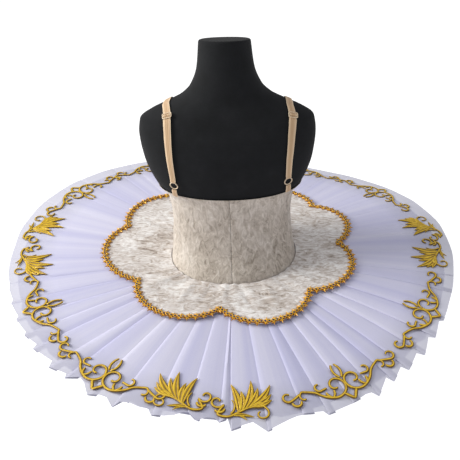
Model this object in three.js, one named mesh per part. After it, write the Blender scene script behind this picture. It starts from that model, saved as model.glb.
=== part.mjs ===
// A ballet tutu on a limbless dress form.
// Millimetres, +Z up. The origin is on the surface the form stands on, under the middle of the waist.
// The garment's back faces -Y and its front +Y. Angles go round from the centre back towards +X.

import * as THREE from 'three';

// ---------------------------------------------------------------------------
// Driving dimensions
// ---------------------------------------------------------------------------

const SKIRT_LEVEL = 200;        // mean height of the skirt's rim above the base
const WAIST_RISE = 16;          // the skirt's middle stands this much above its rim
const SKIRT_RADIUS = 494;       // rim radius
const RIM_CENTRE_Y = 9;         // the rim's centre lies a little before the body's axis
const HIP_RADIUS = 125;         // mean radius where the skirt leaves the body

const FORM_TO_CLOTH = 1.9;      // clear gap between the form and the cloth on it
const BODICE_WALL = 2.0;        // velvet on its cotton backing
const NET_WALL = 1.5;           // one gathered thickness of net
const OVERLAY_WALL = 2.0;       // crushed velvet with its edge turned
const APPLIQUE_WALL = 1.4;      // satin-stitched patch
const BRAID_WALL = 2.4;         // gimp braid
const SEAM_GAP = 0.35;          // between pieces that meet at a seam
const NET_TO_BODY = 1.5;        // between a net layer's inner edge and the yoke
const OVERLAY_LIFT = 1.3;       // overlay above the pleat ridges
const APPLIQUE_LIFT = 1.2;      // patches above the pleat ridges

const UNDERARM_TOP = 406;       // the bodice's top edge at the side seams
const BACK_DIP = 4;             // how far it dips at the centre back
const FRONT_RISE = 64;          // how far it rises over the bust
const FRONT_DIP = 16;           // how far it dips again at the centre front
const DIP_HALF_ANGLE = 0.75;    // radians either side of the centre front
const BODICE_BOTTOM = SKIRT_LEVEL + WAIST_RISE - 1;
const YOKE_BOTTOM = 105;

// The body's horizontal sections: superellipses, a row for each height.
const BODY_COLUMNS = ['z', 'halfWidth', 'back', 'front', 'centreY', 'tilt'];
const BODY_SECTIONS = [
  [0, 158, 106, 106, -8, 0],
  [50, 165, 114, 110, -8, 0],
  [100, 164, 121, 110, -8, 0],
  [160, 151, 125, 108, -8, 0],
  [216, 138, 120, 103, -8, 0],
  [270, 130, 93, 96, -4, 0],
  [330, 126, 80, 94, -2, 0],
  [380, 131, 79, 101, -2, 0],
  [419, 158, 84, 110, -4, 0],
  [475, 175, 88, 100, -6, 0],
  [522, 179, 78, 78, -8, 0],
  [551, 175, 66, 66, -5, 0],
  [564, 156, 62, 62, -2, 0],
  [576, 126, 60, 60, 2, 0],
  [590, 94, 58, 58, 8, 0],
  [610, 72, 56, 56, 15, 3],
  [645, 57, 52, 52, 26, 9],
  [693, 51, 48, 48, 38, 12.5],
];
const BODY_POWER = 2.2;         // squareness of the superellipses
const FORM_COLUMNS = 40;
const FORM_LEVELS = [
  0, 28, 60, 95, 130, 165, 200, 220, 238, 255, 275, 300, 330, 360, 385, 405, 425, 450,
  482, 508, 530, 545, 556, 566, 576, 590, 610, 645, 693,
];

// The rim's gentle wave: mean lift, then cosine and sine amounts for one, two and three waves round.
const RIM_WAVE = { mean: 12, cos: [6, -20.5, 5], sin: [-22, 4, -6.5] };

// The overlay's eight scallops: each row is the cusp that starts a scallop and that scallop's crown.
const SCALLOP_COLUMNS = ['cuspDegrees', 'cuspRadius', 'crownRadius'];
const SCALLOPS = [
  [-148, 272, 302],
  [-107, 268, 294],
  [-59, 236, 269],
  [-6, 215, 265],
  [46, 228, 278],
  [92, 242, 293],
  [132, 264, 298],
  [172, 268, 300],
];
const COLUMNS_PER_SCALLOP = 7;

// Net layers from the top down: rim radius as a share of the skirt's, how far the layer's ridges
// lie below the skirt's top at its inner edge and at its rim, pleat count, ridge height at the rim
// and the stations from inner edge to rim where its walls are worked out.
const NET_COLUMNS = ['name', 'reach', 'innerDrop', 'rimDrop', 'pleats', 'ridge', 'stations'];
const NET_LAYERS = [
  ['net_layer_1', 1.0, 0, 0, 60, 4.5, [0, 0.22, 0.55, 1]],
  ['net_layer_2', 0.988, 12, 6, 60, 4.5, [0, 0.4, 1]],
  ['net_layer_3', 0.95, 26, 19, 48, 3, [0, 0.4, 1]],
  ['net_layer_4', 0.9, 42, 30, 42, 3, [0, 1]],
  ['net_layer_5', 0.8, 60, 46, 36, 3, [0, 1]],
  ['net_layer_6', 0.66, 80, 64, 30, 3, [0, 1]],
];
const TOOTH_DEPTH = 12;         // how far a pleat's edge steps in at the rim, at the back

// Embroidered patches: the middle of each, in degrees from the centre back, how far out from the
// patch radius it is sewn, and its turn in degrees.
const PATCH_RADIUS = 445;
const PLUMES = [
  [[-184.8, 0, 0], [-168.2, 0, 0]],
  [[-97.6, 12, 4], [-80.9, 3, 0]],
  [[-11.9, -9, 0], [4.2, 0, 0]],
  [[84.2, 4, 0], [100.6, 12, -14]],
];
const SCROLLS = [
  [-149, 2, 0],
  [-119, 6, 5],
  [-61, -8, 0],
  [-31, 0, 0],
  [28.2, 0, 1],
  [60.5, 0, 0],
  [126, 6, -2],
  [155, 2, 0],
];

// Shoulder straps
const STRAP_WIDTH = 15;
const STRAP_WALL = 1.2;
const STRAP_LIFT = 2.2;         // from the form's surface to the strap's middle
const STRAP_SHIFT = 5;          // both straps sit this much towards the wearer's right

// ---------------------------------------------------------------------------
// Small helpers
// ---------------------------------------------------------------------------

const radians = THREE.MathUtils.degToRad;
const lerp = THREE.MathUtils.lerp;
const clamp = THREE.MathUtils.clamp;
const asRows = (columns, rows) =>
  rows.map((row) => Object.fromEntries(columns.map((name, i) => [name, row[i]])));

/** A smooth curve through one column of a table that never overshoots its rows. */
function smoothColumn(rows, key, value) {
  const xs = rows.map((row) => row[key]);
  const ys = rows.map((row) => row[value]);
  const slopes = xs.slice(1).map((x, i) => (ys[i + 1] - ys[i]) / (x - xs[i]));
  const tangents = xs.map((_, i) => {
    if (i === 0) return slopes[0];
    if (i === xs.length - 1) return slopes[i - 1];
    if (slopes[i - 1] * slopes[i] <= 0) return 0;
    return (2 * slopes[i - 1] * slopes[i]) / (slopes[i - 1] + slopes[i]);
  });
  return (x) => {
    let i = xs.findIndex((knot) => knot > x) - 1;
    if (i < 0) i = x < xs[0] ? 0 : xs.length - 2;
    const span = xs[i + 1] - xs[i];
    const u = clamp((x - xs[i]) / span, 0, 1);
    const a = (2 * u - 3) * u * u;
    return (
      ys[i] * (a + 1) - ys[i + 1] * a +
      span * (tangents[i] * u * (u - 1) ** 2 + tangents[i + 1] * u * u * (u - 1))
    );
  };
}

/** Turns a geometry's faces round if they enclose a negative volume. */
function facingOut(geometry) {
  const p = geometry.attributes.position;
  const index = geometry.index.array;
  const [a, b, c] = [new THREE.Vector3(), new THREE.Vector3(), new THREE.Vector3()];
  let volume = 0;
  for (let i = 0; i < index.length; i += 3) {
    a.fromBufferAttribute(p, index[i]);
    b.fromBufferAttribute(p, index[i + 1]);
    c.fromBufferAttribute(p, index[i + 2]);
    volume += a.dot(b.cross(c));
  }
  if (volume < 0) {
    for (let i = 0; i < index.length; i += 3) {
      [index[i + 1], index[i + 2]] = [index[i + 2], index[i + 1]];
    }
  }
  geometry.computeVertexNormals();
  return geometry;
}

function geometryFrom(points, faces) {
  const geometry = new THREE.BufferGeometry();
  const flat = points.flatMap((point) => [point.x, point.y, point.z]);
  geometry.setAttribute('position', new THREE.Float32BufferAttribute(flat, 3));
  geometry.setIndex(faces.flat());
  return facingOut(geometry);
}

/**
 * A wall between two grids of points. outer(i, j) and inner(i, j) give its two sides for column i
 * and row j. A wall that is closed round has its last column joined to its first.
 */
function wall(columns, rows, outer, inner, closedRound) {
  const points = [];
  const at = [[], []];
  [outer, inner].forEach((side, k) => {
    for (let i = 0; i < columns; i++) {
      at[k][i] = [];
      for (let j = 0; j < rows; j++) {
        at[k][i][j] = points.length;
        points.push(side(i, j));
      }
    }
  });
  const faces = [];
  const quad = (a, b, c, d) => faces.push([a, b, c], [a, c, d]);
  const spans = closedRound ? columns : columns - 1;
  for (let i = 0; i < spans; i++) {
    const n = (i + 1) % columns;
    for (let j = 0; j < rows - 1; j++) {
      quad(at[0][i][j], at[0][n][j], at[0][n][j + 1], at[0][i][j + 1]);
      quad(at[1][i][j + 1], at[1][n][j + 1], at[1][n][j], at[1][i][j]);
    }
    const top = rows - 1;
    quad(at[1][i][0], at[1][n][0], at[0][n][0], at[0][i][0]);
    quad(at[0][i][top], at[0][n][top], at[1][n][top], at[1][i][top]);
  }
  if (!closedRound) {
    const end = columns - 1;
    for (let j = 0; j < rows - 1; j++) {
      quad(at[0][0][j], at[0][0][j + 1], at[1][0][j + 1], at[1][0][j]);
      quad(at[1][end][j], at[1][end][j + 1], at[0][end][j + 1], at[0][end][j]);
    }
  }
  return geometryFrom(points, faces);
}

/** A flat outline given a thickness, each corner placed by place(u, v, level). */
function plate(outline, place) {
  const corners = outline.map(([u, v]) => new THREE.Vector2(u, v));
  if (THREE.ShapeUtils.isClockWise(corners)) corners.reverse();
  const caps = THREE.ShapeUtils.triangulateShape(corners, []);
  const n = corners.length;
  const points = [0, 1].flatMap((level) => corners.map(({ x, y }) => place(x, y, level)));
  const faces = [];
  for (const [a, b, c] of caps) faces.push([a, c, b], [a + n, b + n, c + n]);
  for (let i = 0; i < n; i++) {
    const k = (i + 1) % n;
    faces.push([i, k, k + n], [i, k + n, i + n]);
  }
  return geometryFrom(points, faces);
}

// ---------------------------------------------------------------------------
// Materials
// ---------------------------------------------------------------------------

const finish = (color, roughness, metalness = 0) =>
  new THREE.MeshStandardMaterial({ color, roughness, metalness });

const BLACK_JERSEY = finish(0x252527, 0.9);
const BEIGE_VELVET = finish(0xc9bcab, 0.75);
const IVORY_VELVET = finish(0xe6dfd7, 0.7);
const WHITE_NET = finish(0xdfddf0, 0.85);
const GOLD_BRAID = finish(0xd0981f, 0.45, 0.3);
const GOLD_THREAD = finish(0xd4ad2c, 0.4, 0.2);
const STRAP_ELASTIC = finish(0xd3b18a, 0.8);
const STRAP_PLASTIC = finish(0xdcc6a6, 0.45);

const tutu = new THREE.Group();

function addPiece(name, geometry, material) {
  const mesh = new THREE.Mesh(geometry, material);
  mesh.name = name;
  tutu.add(mesh);
  return mesh;
}

// ---------------------------------------------------------------------------
// The body: one set of sections that the form and the fitted pieces share
// ---------------------------------------------------------------------------

const bodyRows = asRows(BODY_COLUMNS, BODY_SECTIONS);
const body = Object.fromEntries(
  BODY_COLUMNS.slice(1).map((name) => [name, smoothColumn(bodyRows, 'z', name)]),
);

/** The point at angle t and height z, moved out from the body's surface. */
function bodyPoint(t, z, out = 0) {
  const width = body.halfWidth(z) + out;
  const depth = (Math.cos(t) > 0 ? body.back(z) : body.front(z)) + out;
  const across = (Math.abs(Math.sin(t)) / width) ** BODY_POWER;
  const along = (Math.abs(Math.cos(t)) / depth) ** BODY_POWER;
  const radius = (across + along) ** (-1 / BODY_POWER);
  const y = -radius * Math.cos(t);
  const lean = Math.tan(radians(body.tilt(z)));
  return new THREE.Vector3(radius * Math.sin(t), body.centreY(z) + y, z - y * lean);
}

/** Below one inside the body, above one outside it. */
function bodyDepth(x, y, z) {
  const dy = y - body.centreY(z);
  const depth = dy < 0 ? body.back(z) : body.front(z);
  return (Math.abs(x) / body.halfWidth(z)) ** BODY_POWER + (Math.abs(dy) / depth) ** BODY_POWER;
}

function dressForm() {
  const points = [];
  const faces = [];
  for (const z of FORM_LEVELS) {
    for (let i = 0; i < FORM_COLUMNS; i++) {
      points.push(bodyPoint((2 * Math.PI * i) / FORM_COLUMNS, z));
    }
  }
  const rings = FORM_LEVELS.length;
  for (let j = 0; j < rings - 1; j++) {
    for (let i = 0; i < FORM_COLUMNS; i++) {
      const n = (i + 1) % FORM_COLUMNS;
      const low = j * FORM_COLUMNS;
      const high = low + FORM_COLUMNS;
      faces.push([low + i, low + n, high + n], [low + i, high + n, high + i]);
    }
  }
  const bottom = points.length;
  points.push(new THREE.Vector3(0, body.centreY(0), 0));
  const top = points.length;
  const topZ = FORM_LEVELS[rings - 1];
  points.push(new THREE.Vector3(0, body.centreY(topZ), topZ));
  for (let i = 0; i < FORM_COLUMNS; i++) {
    const n = (i + 1) % FORM_COLUMNS;
    const high = (rings - 1) * FORM_COLUMNS;
    faces.push([bottom, n, i], [top, high + i, high + n]);
  }
  return geometryFrom(points, faces);
}

addPiece('dress_form', dressForm(), BLACK_JERSEY);

// ---------------------------------------------------------------------------
// Bodice: two back panels and a front, cut to the body
// ---------------------------------------------------------------------------

/** Height of the bodice's top edge: low across the back, rising to the straps in front. */
function bodiceTop(t) {
  const front = clamp(-Math.cos(t), 0, 1);
  const back = clamp(Math.cos(t), 0, 1);
  const dip = clamp(1 - Math.abs(Math.abs(t) - Math.PI) / DIP_HALF_ANGLE, 0, 1);
  return UNDERARM_TOP - BACK_DIP * back + FRONT_RISE * front ** 0.8 - FRONT_DIP * dip;
}

function bodicePanel(from, to, columns, rows) {
  const gap = SEAM_GAP / 2;
  const angle = (i) => {
    const t = lerp(from, to, i / (columns - 1));
    const waist = bodyPoint(t, 330);
    const radius = Math.hypot(waist.x, waist.y);
    if (i === 0) return t + gap / radius;
    if (i === columns - 1) return t - gap / radius;
    return t;
  };
  const side = (out) => (i, j) => {
    const t = angle(i);
    const turned = t > Math.PI ? t - 2 * Math.PI : t;
    return bodyPoint(t, lerp(BODICE_BOTTOM, bodiceTop(turned), j / (rows - 1)), out);
  };
  return wall(columns, rows, side(FORM_TO_CLOTH + BODICE_WALL), side(FORM_TO_CLOTH), false);
}

addPiece('bodice_back_left', bodicePanel(-Math.PI / 2, 0, 11, 8), BEIGE_VELVET);
addPiece('bodice_back_right', bodicePanel(0, Math.PI / 2, 11, 8), BEIGE_VELVET);
addPiece('bodice_front', bodicePanel(Math.PI / 2, 1.5 * Math.PI, 21, 12), BEIGE_VELVET);

// The yoke is the plain band below the waist seam that the net is sewn to.
function hipYoke() {
  const rows = 4;
  const side = (out) => (i, j) => {
    const z = lerp(YOKE_BOTTOM, BODICE_BOTTOM - SEAM_GAP, j / (rows - 1));
    return bodyPoint((2 * Math.PI * i) / FORM_COLUMNS, z, out);
  };
  return wall(FORM_COLUMNS, rows, side(FORM_TO_CLOTH + BODICE_WALL), side(FORM_TO_CLOTH), true);
}

addPiece('hip_yoke', hipYoke(), WHITE_NET);

// ---------------------------------------------------------------------------
// The skirt's surface: where the pleat ridges of the top layer lie
// ---------------------------------------------------------------------------

function rimRadius(t) {
  const across = RIM_CENTRE_Y * Math.sin(t);
  return -RIM_CENTRE_Y * Math.cos(t) + Math.sqrt(SKIRT_RADIUS ** 2 - across ** 2);
}

function rimWave(t) {
  let height = RIM_WAVE.mean;
  for (let k = 0; k < RIM_WAVE.cos.length; k++) {
    height += RIM_WAVE.cos[k] * Math.cos((k + 1) * t) + RIM_WAVE.sin[k] * Math.sin((k + 1) * t);
  }
  return height;
}

function skirtHeight(x, y) {
  const t = Math.atan2(x, -y);
  const s = clamp((Math.hypot(x, y) - HIP_RADIUS) / (rimRadius(t) - HIP_RADIUS), 0, 1.05);
  return SKIRT_LEVEL + WAIST_RISE * (1 - s ** 3) + rimWave(t) * s ** 1.5;
}

/** One across the back half of the skirt, fading to a third over the hips and the front. */
function backShare(t) {
  const u = clamp((Math.cos(t) + 0.35) / 0.8, 0, 1);
  return 0.3 + 0.7 * u * u * (3 - 2 * u);
}

/** Uneven shares, about one, that repeat only after many pleats. */
const uneven = (i) => 1 + 0.3 * Math.sin(2.4 * i) + 0.18 * Math.sin(5.1 * i + 1);

/** The fold lines of a pleated layer: a valley and a ridge for each pleat. */
function foldLines(pleats) {
  const widths = Array.from({ length: pleats }, (_, i) => uneven(i));
  const total = widths.reduce((sum, value) => sum + value, 0);
  const lines = [];
  let t = -Math.PI;
  widths.forEach((width, i) => {
    const step = (2 * Math.PI * width) / total;
    lines.push({ t, valley: 1, tooth: uneven(3 * i + 1) });
    lines.push({ t: t + 0.28 * step, valley: 0, tooth: 0.25 * uneven(7 * i) });
    t += step;
  });
  return lines;
}

function netLayer({ reach, innerDrop, rimDrop, pleats, ridge, stations }) {
  const lines = foldLines(pleats);
  const innerZ = SKIRT_LEVEL + WAIST_RISE - innerDrop;
  const side = (depth) => (i, j) => {
    const { t, valley, tooth } = lines[i];
    const s = stations[j];
    const share = backShare(t);
    const inner = bodyPoint(t, innerZ, FORM_TO_CLOTH + BODICE_WALL + NET_TO_BODY);
    const rim = reach * rimRadius(t) + TOOTH_DEPTH * share * (0.5 - tooth);
    const x = lerp(inner.x, rim * Math.sin(t), s);
    const y = lerp(inner.y, -rim * Math.cos(t), s);
    const fold = 2 * ridge * share * (0.15 + 0.85 * s) * valley;
    const z = skirtHeight(x, y) - lerp(innerDrop, rimDrop, s) - fold - depth;
    return new THREE.Vector3(x, y, z);
  };
  return wall(lines.length, stations.length, side(0), side(NET_WALL), true);
}

for (const layer of asRows(NET_COLUMNS, NET_LAYERS)) {
  addPiece(layer.name, netLayer(layer), WHITE_NET);
}

// ---------------------------------------------------------------------------
// Scalloped velvet overlay and its braid
// ---------------------------------------------------------------------------

/** Points along the overlay's edge, a cusp at the start of each scallop. */
function scallopedEdge(perScallop) {
  const rows = asRows(SCALLOP_COLUMNS, SCALLOPS);
  return rows.flatMap((row, k) => {
    const next = rows[(k + 1) % rows.length];
    const turn = next.cuspDegrees > row.cuspDegrees ? 0 : 360;
    return Array.from({ length: perScallop }, (_, i) => {
      const u = i / perScallop;
      const t = radians(lerp(row.cuspDegrees, next.cuspDegrees + turn, u));
      const cusps = lerp(row.cuspRadius, next.cuspRadius, u);
      const crown = row.crownRadius - (row.cuspRadius + next.cuspRadius) / 2;
      const r = cusps + crown * Math.sin(Math.PI * u) ** 0.72;
      return { t, r };
    });
  });
}

const edge = scallopedEdge(COLUMNS_PER_SCALLOP);

function velvetOverlay() {
  const rows = 4;
  const side = (lift) => (i, j) => {
    const { t, r } = edge[i];
    const inner = bodyPoint(t, BODICE_BOTTOM + 2, FORM_TO_CLOTH + BODICE_WALL + SEAM_GAP + 0.2);
    const x = lerp(inner.x, r * Math.sin(t), j / (rows - 1));
    const y = lerp(inner.y, -r * Math.cos(t), j / (rows - 1));
    return new THREE.Vector3(x, y, skirtHeight(x, y) + lift);
  };
  return wall(edge.length, rows, side(OVERLAY_LIFT + OVERLAY_WALL), side(OVERLAY_LIFT), true);
}

addPiece('velvet_overlay', velvetOverlay(), IVORY_VELVET);

/** The braid lies along the edge on top of the velvet, most of it on the velvet side. */
function goldBraid() {
  const inside = 8;
  const outside = 2.5;
  const plan = edge.map(({ t, r }) => new THREE.Vector2(r * Math.sin(t), -r * Math.cos(t)));
  const side = (lift) => (i, j) => {
    const before = plan[(i + plan.length - 1) % plan.length];
    const after = plan[(i + 1) % plan.length];
    const along = after.clone().sub(before).normalize();
    const out = new THREE.Vector2(along.y, -along.x).multiplyScalar(j === 0 ? -inside : outside);
    const p = plan[i].clone().add(out);
    return new THREE.Vector3(p.x, p.y, skirtHeight(p.x, p.y) + lift);
  };
  const low = OVERLAY_LIFT + OVERLAY_WALL + 0.6;
  return wall(plan.length, 2, side(low + BRAID_WALL), side(low), true);
}

addPiece('gold_braid', goldBraid(), GOLD_BRAID);

// ---------------------------------------------------------------------------
// Embroidered patches: plain plates of their reach, on the top layer
// ---------------------------------------------------------------------------

// Corners in millimetres: along the rim away from the pair's middle, then outwards.
const PLUME_OUTLINE = [
  [-62, 0], [-58, 16], [-42, 30], [-18, 37], [8, 35], [28, 40], [42, 33], [44, 20], [34, 10],
  [50, -18], [46, -40], [30, -38], [14, -44], [0, -36], [-14, -24], [-24, 6], [-36, -14], [-52, -16],
];

// Half a scroll from its middle to its tail, outer edge first; the other half mirrors it.
const SCROLL_OUTER = [[0, 38], [12, 26], [34, 26], [50, 12], [64, 4], [78, 14], [91, 22], [100, 8]];
const SCROLL_INNER = [[100, -8], [85, 2], [66, -10], [52, -16], [30, -21], [11, -21], [0, -42]];

const scrollHalf = [...SCROLL_OUTER, ...SCROLL_INNER];
const SCROLL_OUTLINE = [
  ...scrollHalf,
  ...scrollHalf.slice(1, -1).reverse().map(([u, v]) => [-u, v]),
];

/** Lays a patch on the pleat ridges, turned about its middle and moved out as it is sewn. */
function patch(outline, mirror, [degrees, out, turn]) {
  const c = Math.cos(radians(turn));
  const s = Math.sin(radians(turn));
  return plate(outline, (u, v, level) => {
    const t = radians(degrees) + (mirror * u * c - v * s) / PATCH_RADIUS;
    const r = PATCH_RADIUS + out + mirror * u * s + v * c;
    const x = r * Math.sin(t);
    const y = -r * Math.cos(t);
    return new THREE.Vector3(x, y, skirtHeight(x, y) + APPLIQUE_LIFT + level * APPLIQUE_WALL);
  });
}

PLUMES.forEach(([left, right], pair) => {
  addPiece(`plume_${pair + 1}_a`, patch(PLUME_OUTLINE, -1, left), GOLD_THREAD);
  addPiece(`plume_${pair + 1}_b`, patch(PLUME_OUTLINE, 1, right), GOLD_THREAD);
});

SCROLLS.forEach((place, i) => {
  addPiece(`scroll_${i + 1}`, patch(SCROLL_OUTLINE, 1, place), GOLD_THREAD);
});

// ---------------------------------------------------------------------------
// Shoulder straps with their sliders and rings
// ---------------------------------------------------------------------------

// A strap's route over the shoulder, seen from the side: degrees from straight up about a point
// inside the chest, towards the front, and the distance from the body's middle plane.
const STRAP_PIVOT = { y: -4, z: SKIRT_LEVEL + 300 };
const STRAP_COLUMNS = ['turn', 'x'];
const STRAP_ROUTE = asRows(STRAP_COLUMNS, [
  [-150, 113],
  [-137, 114],
  [-90, 117],
  [-29, 118.5],
  [0, 119],
  [40, 116],
  [75, 106],
  [118, 96],
]);
const strapX = smoothColumn(STRAP_ROUTE, 'turn', 'x');
const SLIDER_TURN = -29;
const RING_TURN = -134.5;
const RING_RADIUS = 8.2;
const RING_WIRE = 1.1;

/** The body's surface under the strap at a turn, its outward normal and the way along it. */
function strapStation(turn, sideSign, out) {
  const surface = (degrees) => {
    const angle = radians(degrees);
    const x = strapX(degrees) + sideSign * STRAP_SHIFT;
    const along = (distance) => new THREE.Vector3(
      x,
      STRAP_PIVOT.y + distance * Math.sin(angle),
      STRAP_PIVOT.z + distance * Math.cos(angle),
    );
    let [near, far] = [0, 260];
    for (let k = 0; k < 40; k++) {
      const middle = (near + far) / 2;
      if (bodyDepth(...along(middle)) < 1) near = middle;
      else far = middle;
    }
    return along(near);
  };
  const point = surface(turn);
  const along = surface(turn + 2).sub(surface(turn - 2)).normalize();
  const h = 0.5;
  const normal = new THREE.Vector3(
    bodyDepth(point.x + h, point.y, point.z) - bodyDepth(point.x - h, point.y, point.z),
    bodyDepth(point.x, point.y + h, point.z) - bodyDepth(point.x, point.y - h, point.z),
    bodyDepth(point.x, point.y, point.z + h) - bodyDepth(point.x, point.y, point.z - h),
  ).normalize();
  normal.addScaledVector(along, -normal.dot(along)).normalize();
  const across = new THREE.Vector3().crossVectors(along, normal);
  point.addScaledVector(normal, out);
  for (const v of [point, along, normal, across]) v.x *= sideSign;
  return { point, along, normal, across };
}

function strapBand(from, to, steps, thickness, middleOut, sideSign, widthAt = () => STRAP_WIDTH) {
  const stations = Array.from({ length: steps + 1 }, (_, i) => {
    const u = i / steps;
    return { ...strapStation(lerp(from, to, u), sideSign, middleOut), width: widthAt(u) };
  });
  const side = (sign) => (i, j) => {
    const { point, normal, across, width } = stations[i];
    return point.clone()
      .addScaledVector(across, (j - 0.5) * width)
      .addScaledVector(normal, (sign * thickness) / 2);
  };
  return wall(stations.length, 2, side(1), side(-1), false);
}

/** A flat buckle with two slots and a bar between them. */
function sliderGeometry() {
  const rounded = (shape, width, height, radius, cy = 0) => {
    const [w, h] = [width / 2, height / 2];
    shape.moveTo(-w + radius, cy - h);
    shape.lineTo(w - radius, cy - h);
    shape.quadraticCurveTo(w, cy - h, w, cy - h + radius);
    shape.lineTo(w, cy + h - radius);
    shape.quadraticCurveTo(w, cy + h, w - radius, cy + h);
    shape.lineTo(-w + radius, cy + h);
    shape.quadraticCurveTo(-w, cy + h, -w, cy + h - radius);
    shape.lineTo(-w, cy - h + radius);
    shape.quadraticCurveTo(-w, cy - h, -w + radius, cy - h);
    return shape;
  };
  const outline = rounded(new THREE.Shape(), 20, 13, 2.2);
  for (const cy of [-2.9, 2.9]) outline.holes.push(rounded(new THREE.Path(), 16, 3.4, 0.8, cy));
  return new THREE.ExtrudeGeometry(outline, { depth: 1.8, bevelEnabled: false, curveSegments: 3 });
}

function ringGeometry() {
  const profile = Array.from({ length: 9 }, (_, i) => {
    const angle = (2 * Math.PI * (i % 8)) / 8;
    return new THREE.Vector2(RING_RADIUS + RING_WIRE * Math.cos(angle), RING_WIRE * Math.sin(angle));
  });
  return new THREE.LatheGeometry(profile, 20).rotateX(Math.PI / 2);
}

/** Places a flat fitting, modelled in its own XY plane, on the body at a turn of the strap. */
function placeFitting(mesh, turn, sideSign, out) {
  const { point, along, normal } = strapStation(turn, sideSign, out);
  const across = new THREE.Vector3().crossVectors(along, normal);
  mesh.matrix.makeBasis(across, along, normal).setPosition(point);
  mesh.matrix.decompose(mesh.position, mesh.quaternion, mesh.scale);
}

for (const [sideName, sideSign] of [['left', -1], ['right', 1]]) {
  const ringGap = 5.4;
  const lowerTop = SLIDER_TURN - 5.5;
  const lowerEnd = RING_TURN + ringGap;
  const narrowing = (u) => lerp(STRAP_WIDTH, 10, clamp((u - 0.8) / 0.2, 0, 1));
  addPiece(
    `strap_${sideName}`,
    strapBand(SLIDER_TURN - 4.5, 115, 24, STRAP_WALL, STRAP_LIFT, sideSign),
    STRAP_ELASTIC,
  );
  addPiece(
    `strap_loop_${sideName}`,
    strapBand(lowerTop, lowerEnd, 12, 2 * STRAP_WALL, STRAP_LIFT + 0.6, sideSign, narrowing),
    STRAP_ELASTIC,
  );
  const tabOut = FORM_TO_CLOTH + BODICE_WALL + 1.6;
  addPiece(
    `strap_tab_${sideName}`,
    strapBand(RING_TURN - ringGap, RING_TURN - 13.5, 3, 1.6, tabOut, sideSign, () => 12),
    STRAP_ELASTIC,
  );
  const slider = addPiece(`strap_slider_${sideName}`, sliderGeometry(), STRAP_PLASTIC);
  placeFitting(slider, SLIDER_TURN, sideSign, STRAP_LIFT + STRAP_WALL + 0.6);
  const ring = addPiece(`strap_ring_${sideName}`, ringGeometry(), STRAP_PLASTIC);
  placeFitting(ring, RING_TURN, sideSign, 4.2);
}

export default tutu;
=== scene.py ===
"""A ballet tutu on a limbless dress form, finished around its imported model.

Shapes are worked out in millimetres with +Z up and the garment's back towards -Y, and become metres
in add_piece(). Angles t go round from the centre back towards +X, so a point at radius r has
x = r sin t and y = -r cos t.
"""
import math

import bpy
import numpy as np
from mathutils import Matrix, Vector


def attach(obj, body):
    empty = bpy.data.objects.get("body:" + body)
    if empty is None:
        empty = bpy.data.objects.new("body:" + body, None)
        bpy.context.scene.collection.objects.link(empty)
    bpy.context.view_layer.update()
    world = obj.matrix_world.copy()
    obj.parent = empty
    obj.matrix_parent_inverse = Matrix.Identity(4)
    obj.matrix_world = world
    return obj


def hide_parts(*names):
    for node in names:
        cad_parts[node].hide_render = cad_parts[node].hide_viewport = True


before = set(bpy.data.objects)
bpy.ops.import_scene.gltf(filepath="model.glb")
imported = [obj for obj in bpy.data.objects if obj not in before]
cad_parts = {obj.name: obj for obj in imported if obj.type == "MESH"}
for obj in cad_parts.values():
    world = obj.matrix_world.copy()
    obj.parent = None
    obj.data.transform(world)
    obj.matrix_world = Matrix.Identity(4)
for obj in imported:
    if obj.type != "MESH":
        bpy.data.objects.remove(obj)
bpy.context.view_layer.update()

MM = 0.001

# ---------------------------------------------------------------------------------------------
# Driving dimensions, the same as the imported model's
# ---------------------------------------------------------------------------------------------

SKIRT_LEVEL = 200
WAIST_RISE = 16
SKIRT_RADIUS = 494
RIM_CENTRE_Y = 9
HIP_RADIUS = 125
BODICE_BOTTOM = 215
YOKE_BOTTOM = 105
UNDERARM_TOP = 406
BACK_DIP = 4
FRONT_RISE = 64
FRONT_DIP = 16
DIP_HALF_ANGLE = 0.75
FORM_TOP = 693
PATCH_RADIUS = 445

# Height, half width, depth to the back and to the front, centre, and the tilt of the section.
BODY_SECTIONS = np.array([
    [0, 158, 106, 106, -8, 0],
    [50, 165, 114, 110, -8, 0],
    [100, 164, 121, 110, -8, 0],
    [160, 151, 125, 108, -8, 0],
    [216, 138, 120, 103, -8, 0],
    [270, 130, 93, 96, -4, 0],
    [330, 126, 80, 94, -2, 0],
    [380, 131, 79, 101, -2, 0],
    [419, 158, 84, 110, -4, 0],
    [475, 175, 88, 100, -6, 0],
    [522, 179, 78, 78, -8, 0],
    [551, 175, 66, 66, -5, 0],
    [564, 156, 62, 62, -2, 0],
    [576, 126, 60, 60, 2, 0],
    [590, 94, 58, 58, 8, 0],
    [610, 72, 56, 56, 15, 3],
    [645, 57, 52, 52, 26, 9],
    [693, 51, 48, 48, 38, 12.5],
], float)
BODY_POWER = 2.2

RIM_WAVE_MEAN = 12
RIM_WAVE_COS = (6, -20.5, 5)
RIM_WAVE_SIN = (-22, 4, -6.5)

# Scallops of the velvet overlay: the cusp that starts each, in degrees, its radius, the crown's.
SCALLOPS = np.array([
    [-148, 272, 302],
    [-107, 268, 294],
    [-59, 236, 269],
    [-6, 215, 265],
    [46, 228, 278],
    [92, 242, 293],
    [132, 264, 298],
    [172, 268, 300],
], float)


# ---------------------------------------------------------------------------------------------
# Camera, light and floor
# ---------------------------------------------------------------------------------------------

def linear(hex_colour):
    """An sRGB hex colour as linear red, green, blue and alpha."""
    parts = [int(hex_colour[i:i + 2], 16) / 255 for i in (1, 3, 5)]
    return [p / 12.92 if p <= 0.04045 else ((p + 0.055) / 1.055) ** 2.4 for p in parts] + [1.0]


CAMERA_PLACE = (0.067, -1.196, 1.090)
CAMERA_DOWN = 34.5              # degrees below level
CAMERA_ROLL = -1.06


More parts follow.
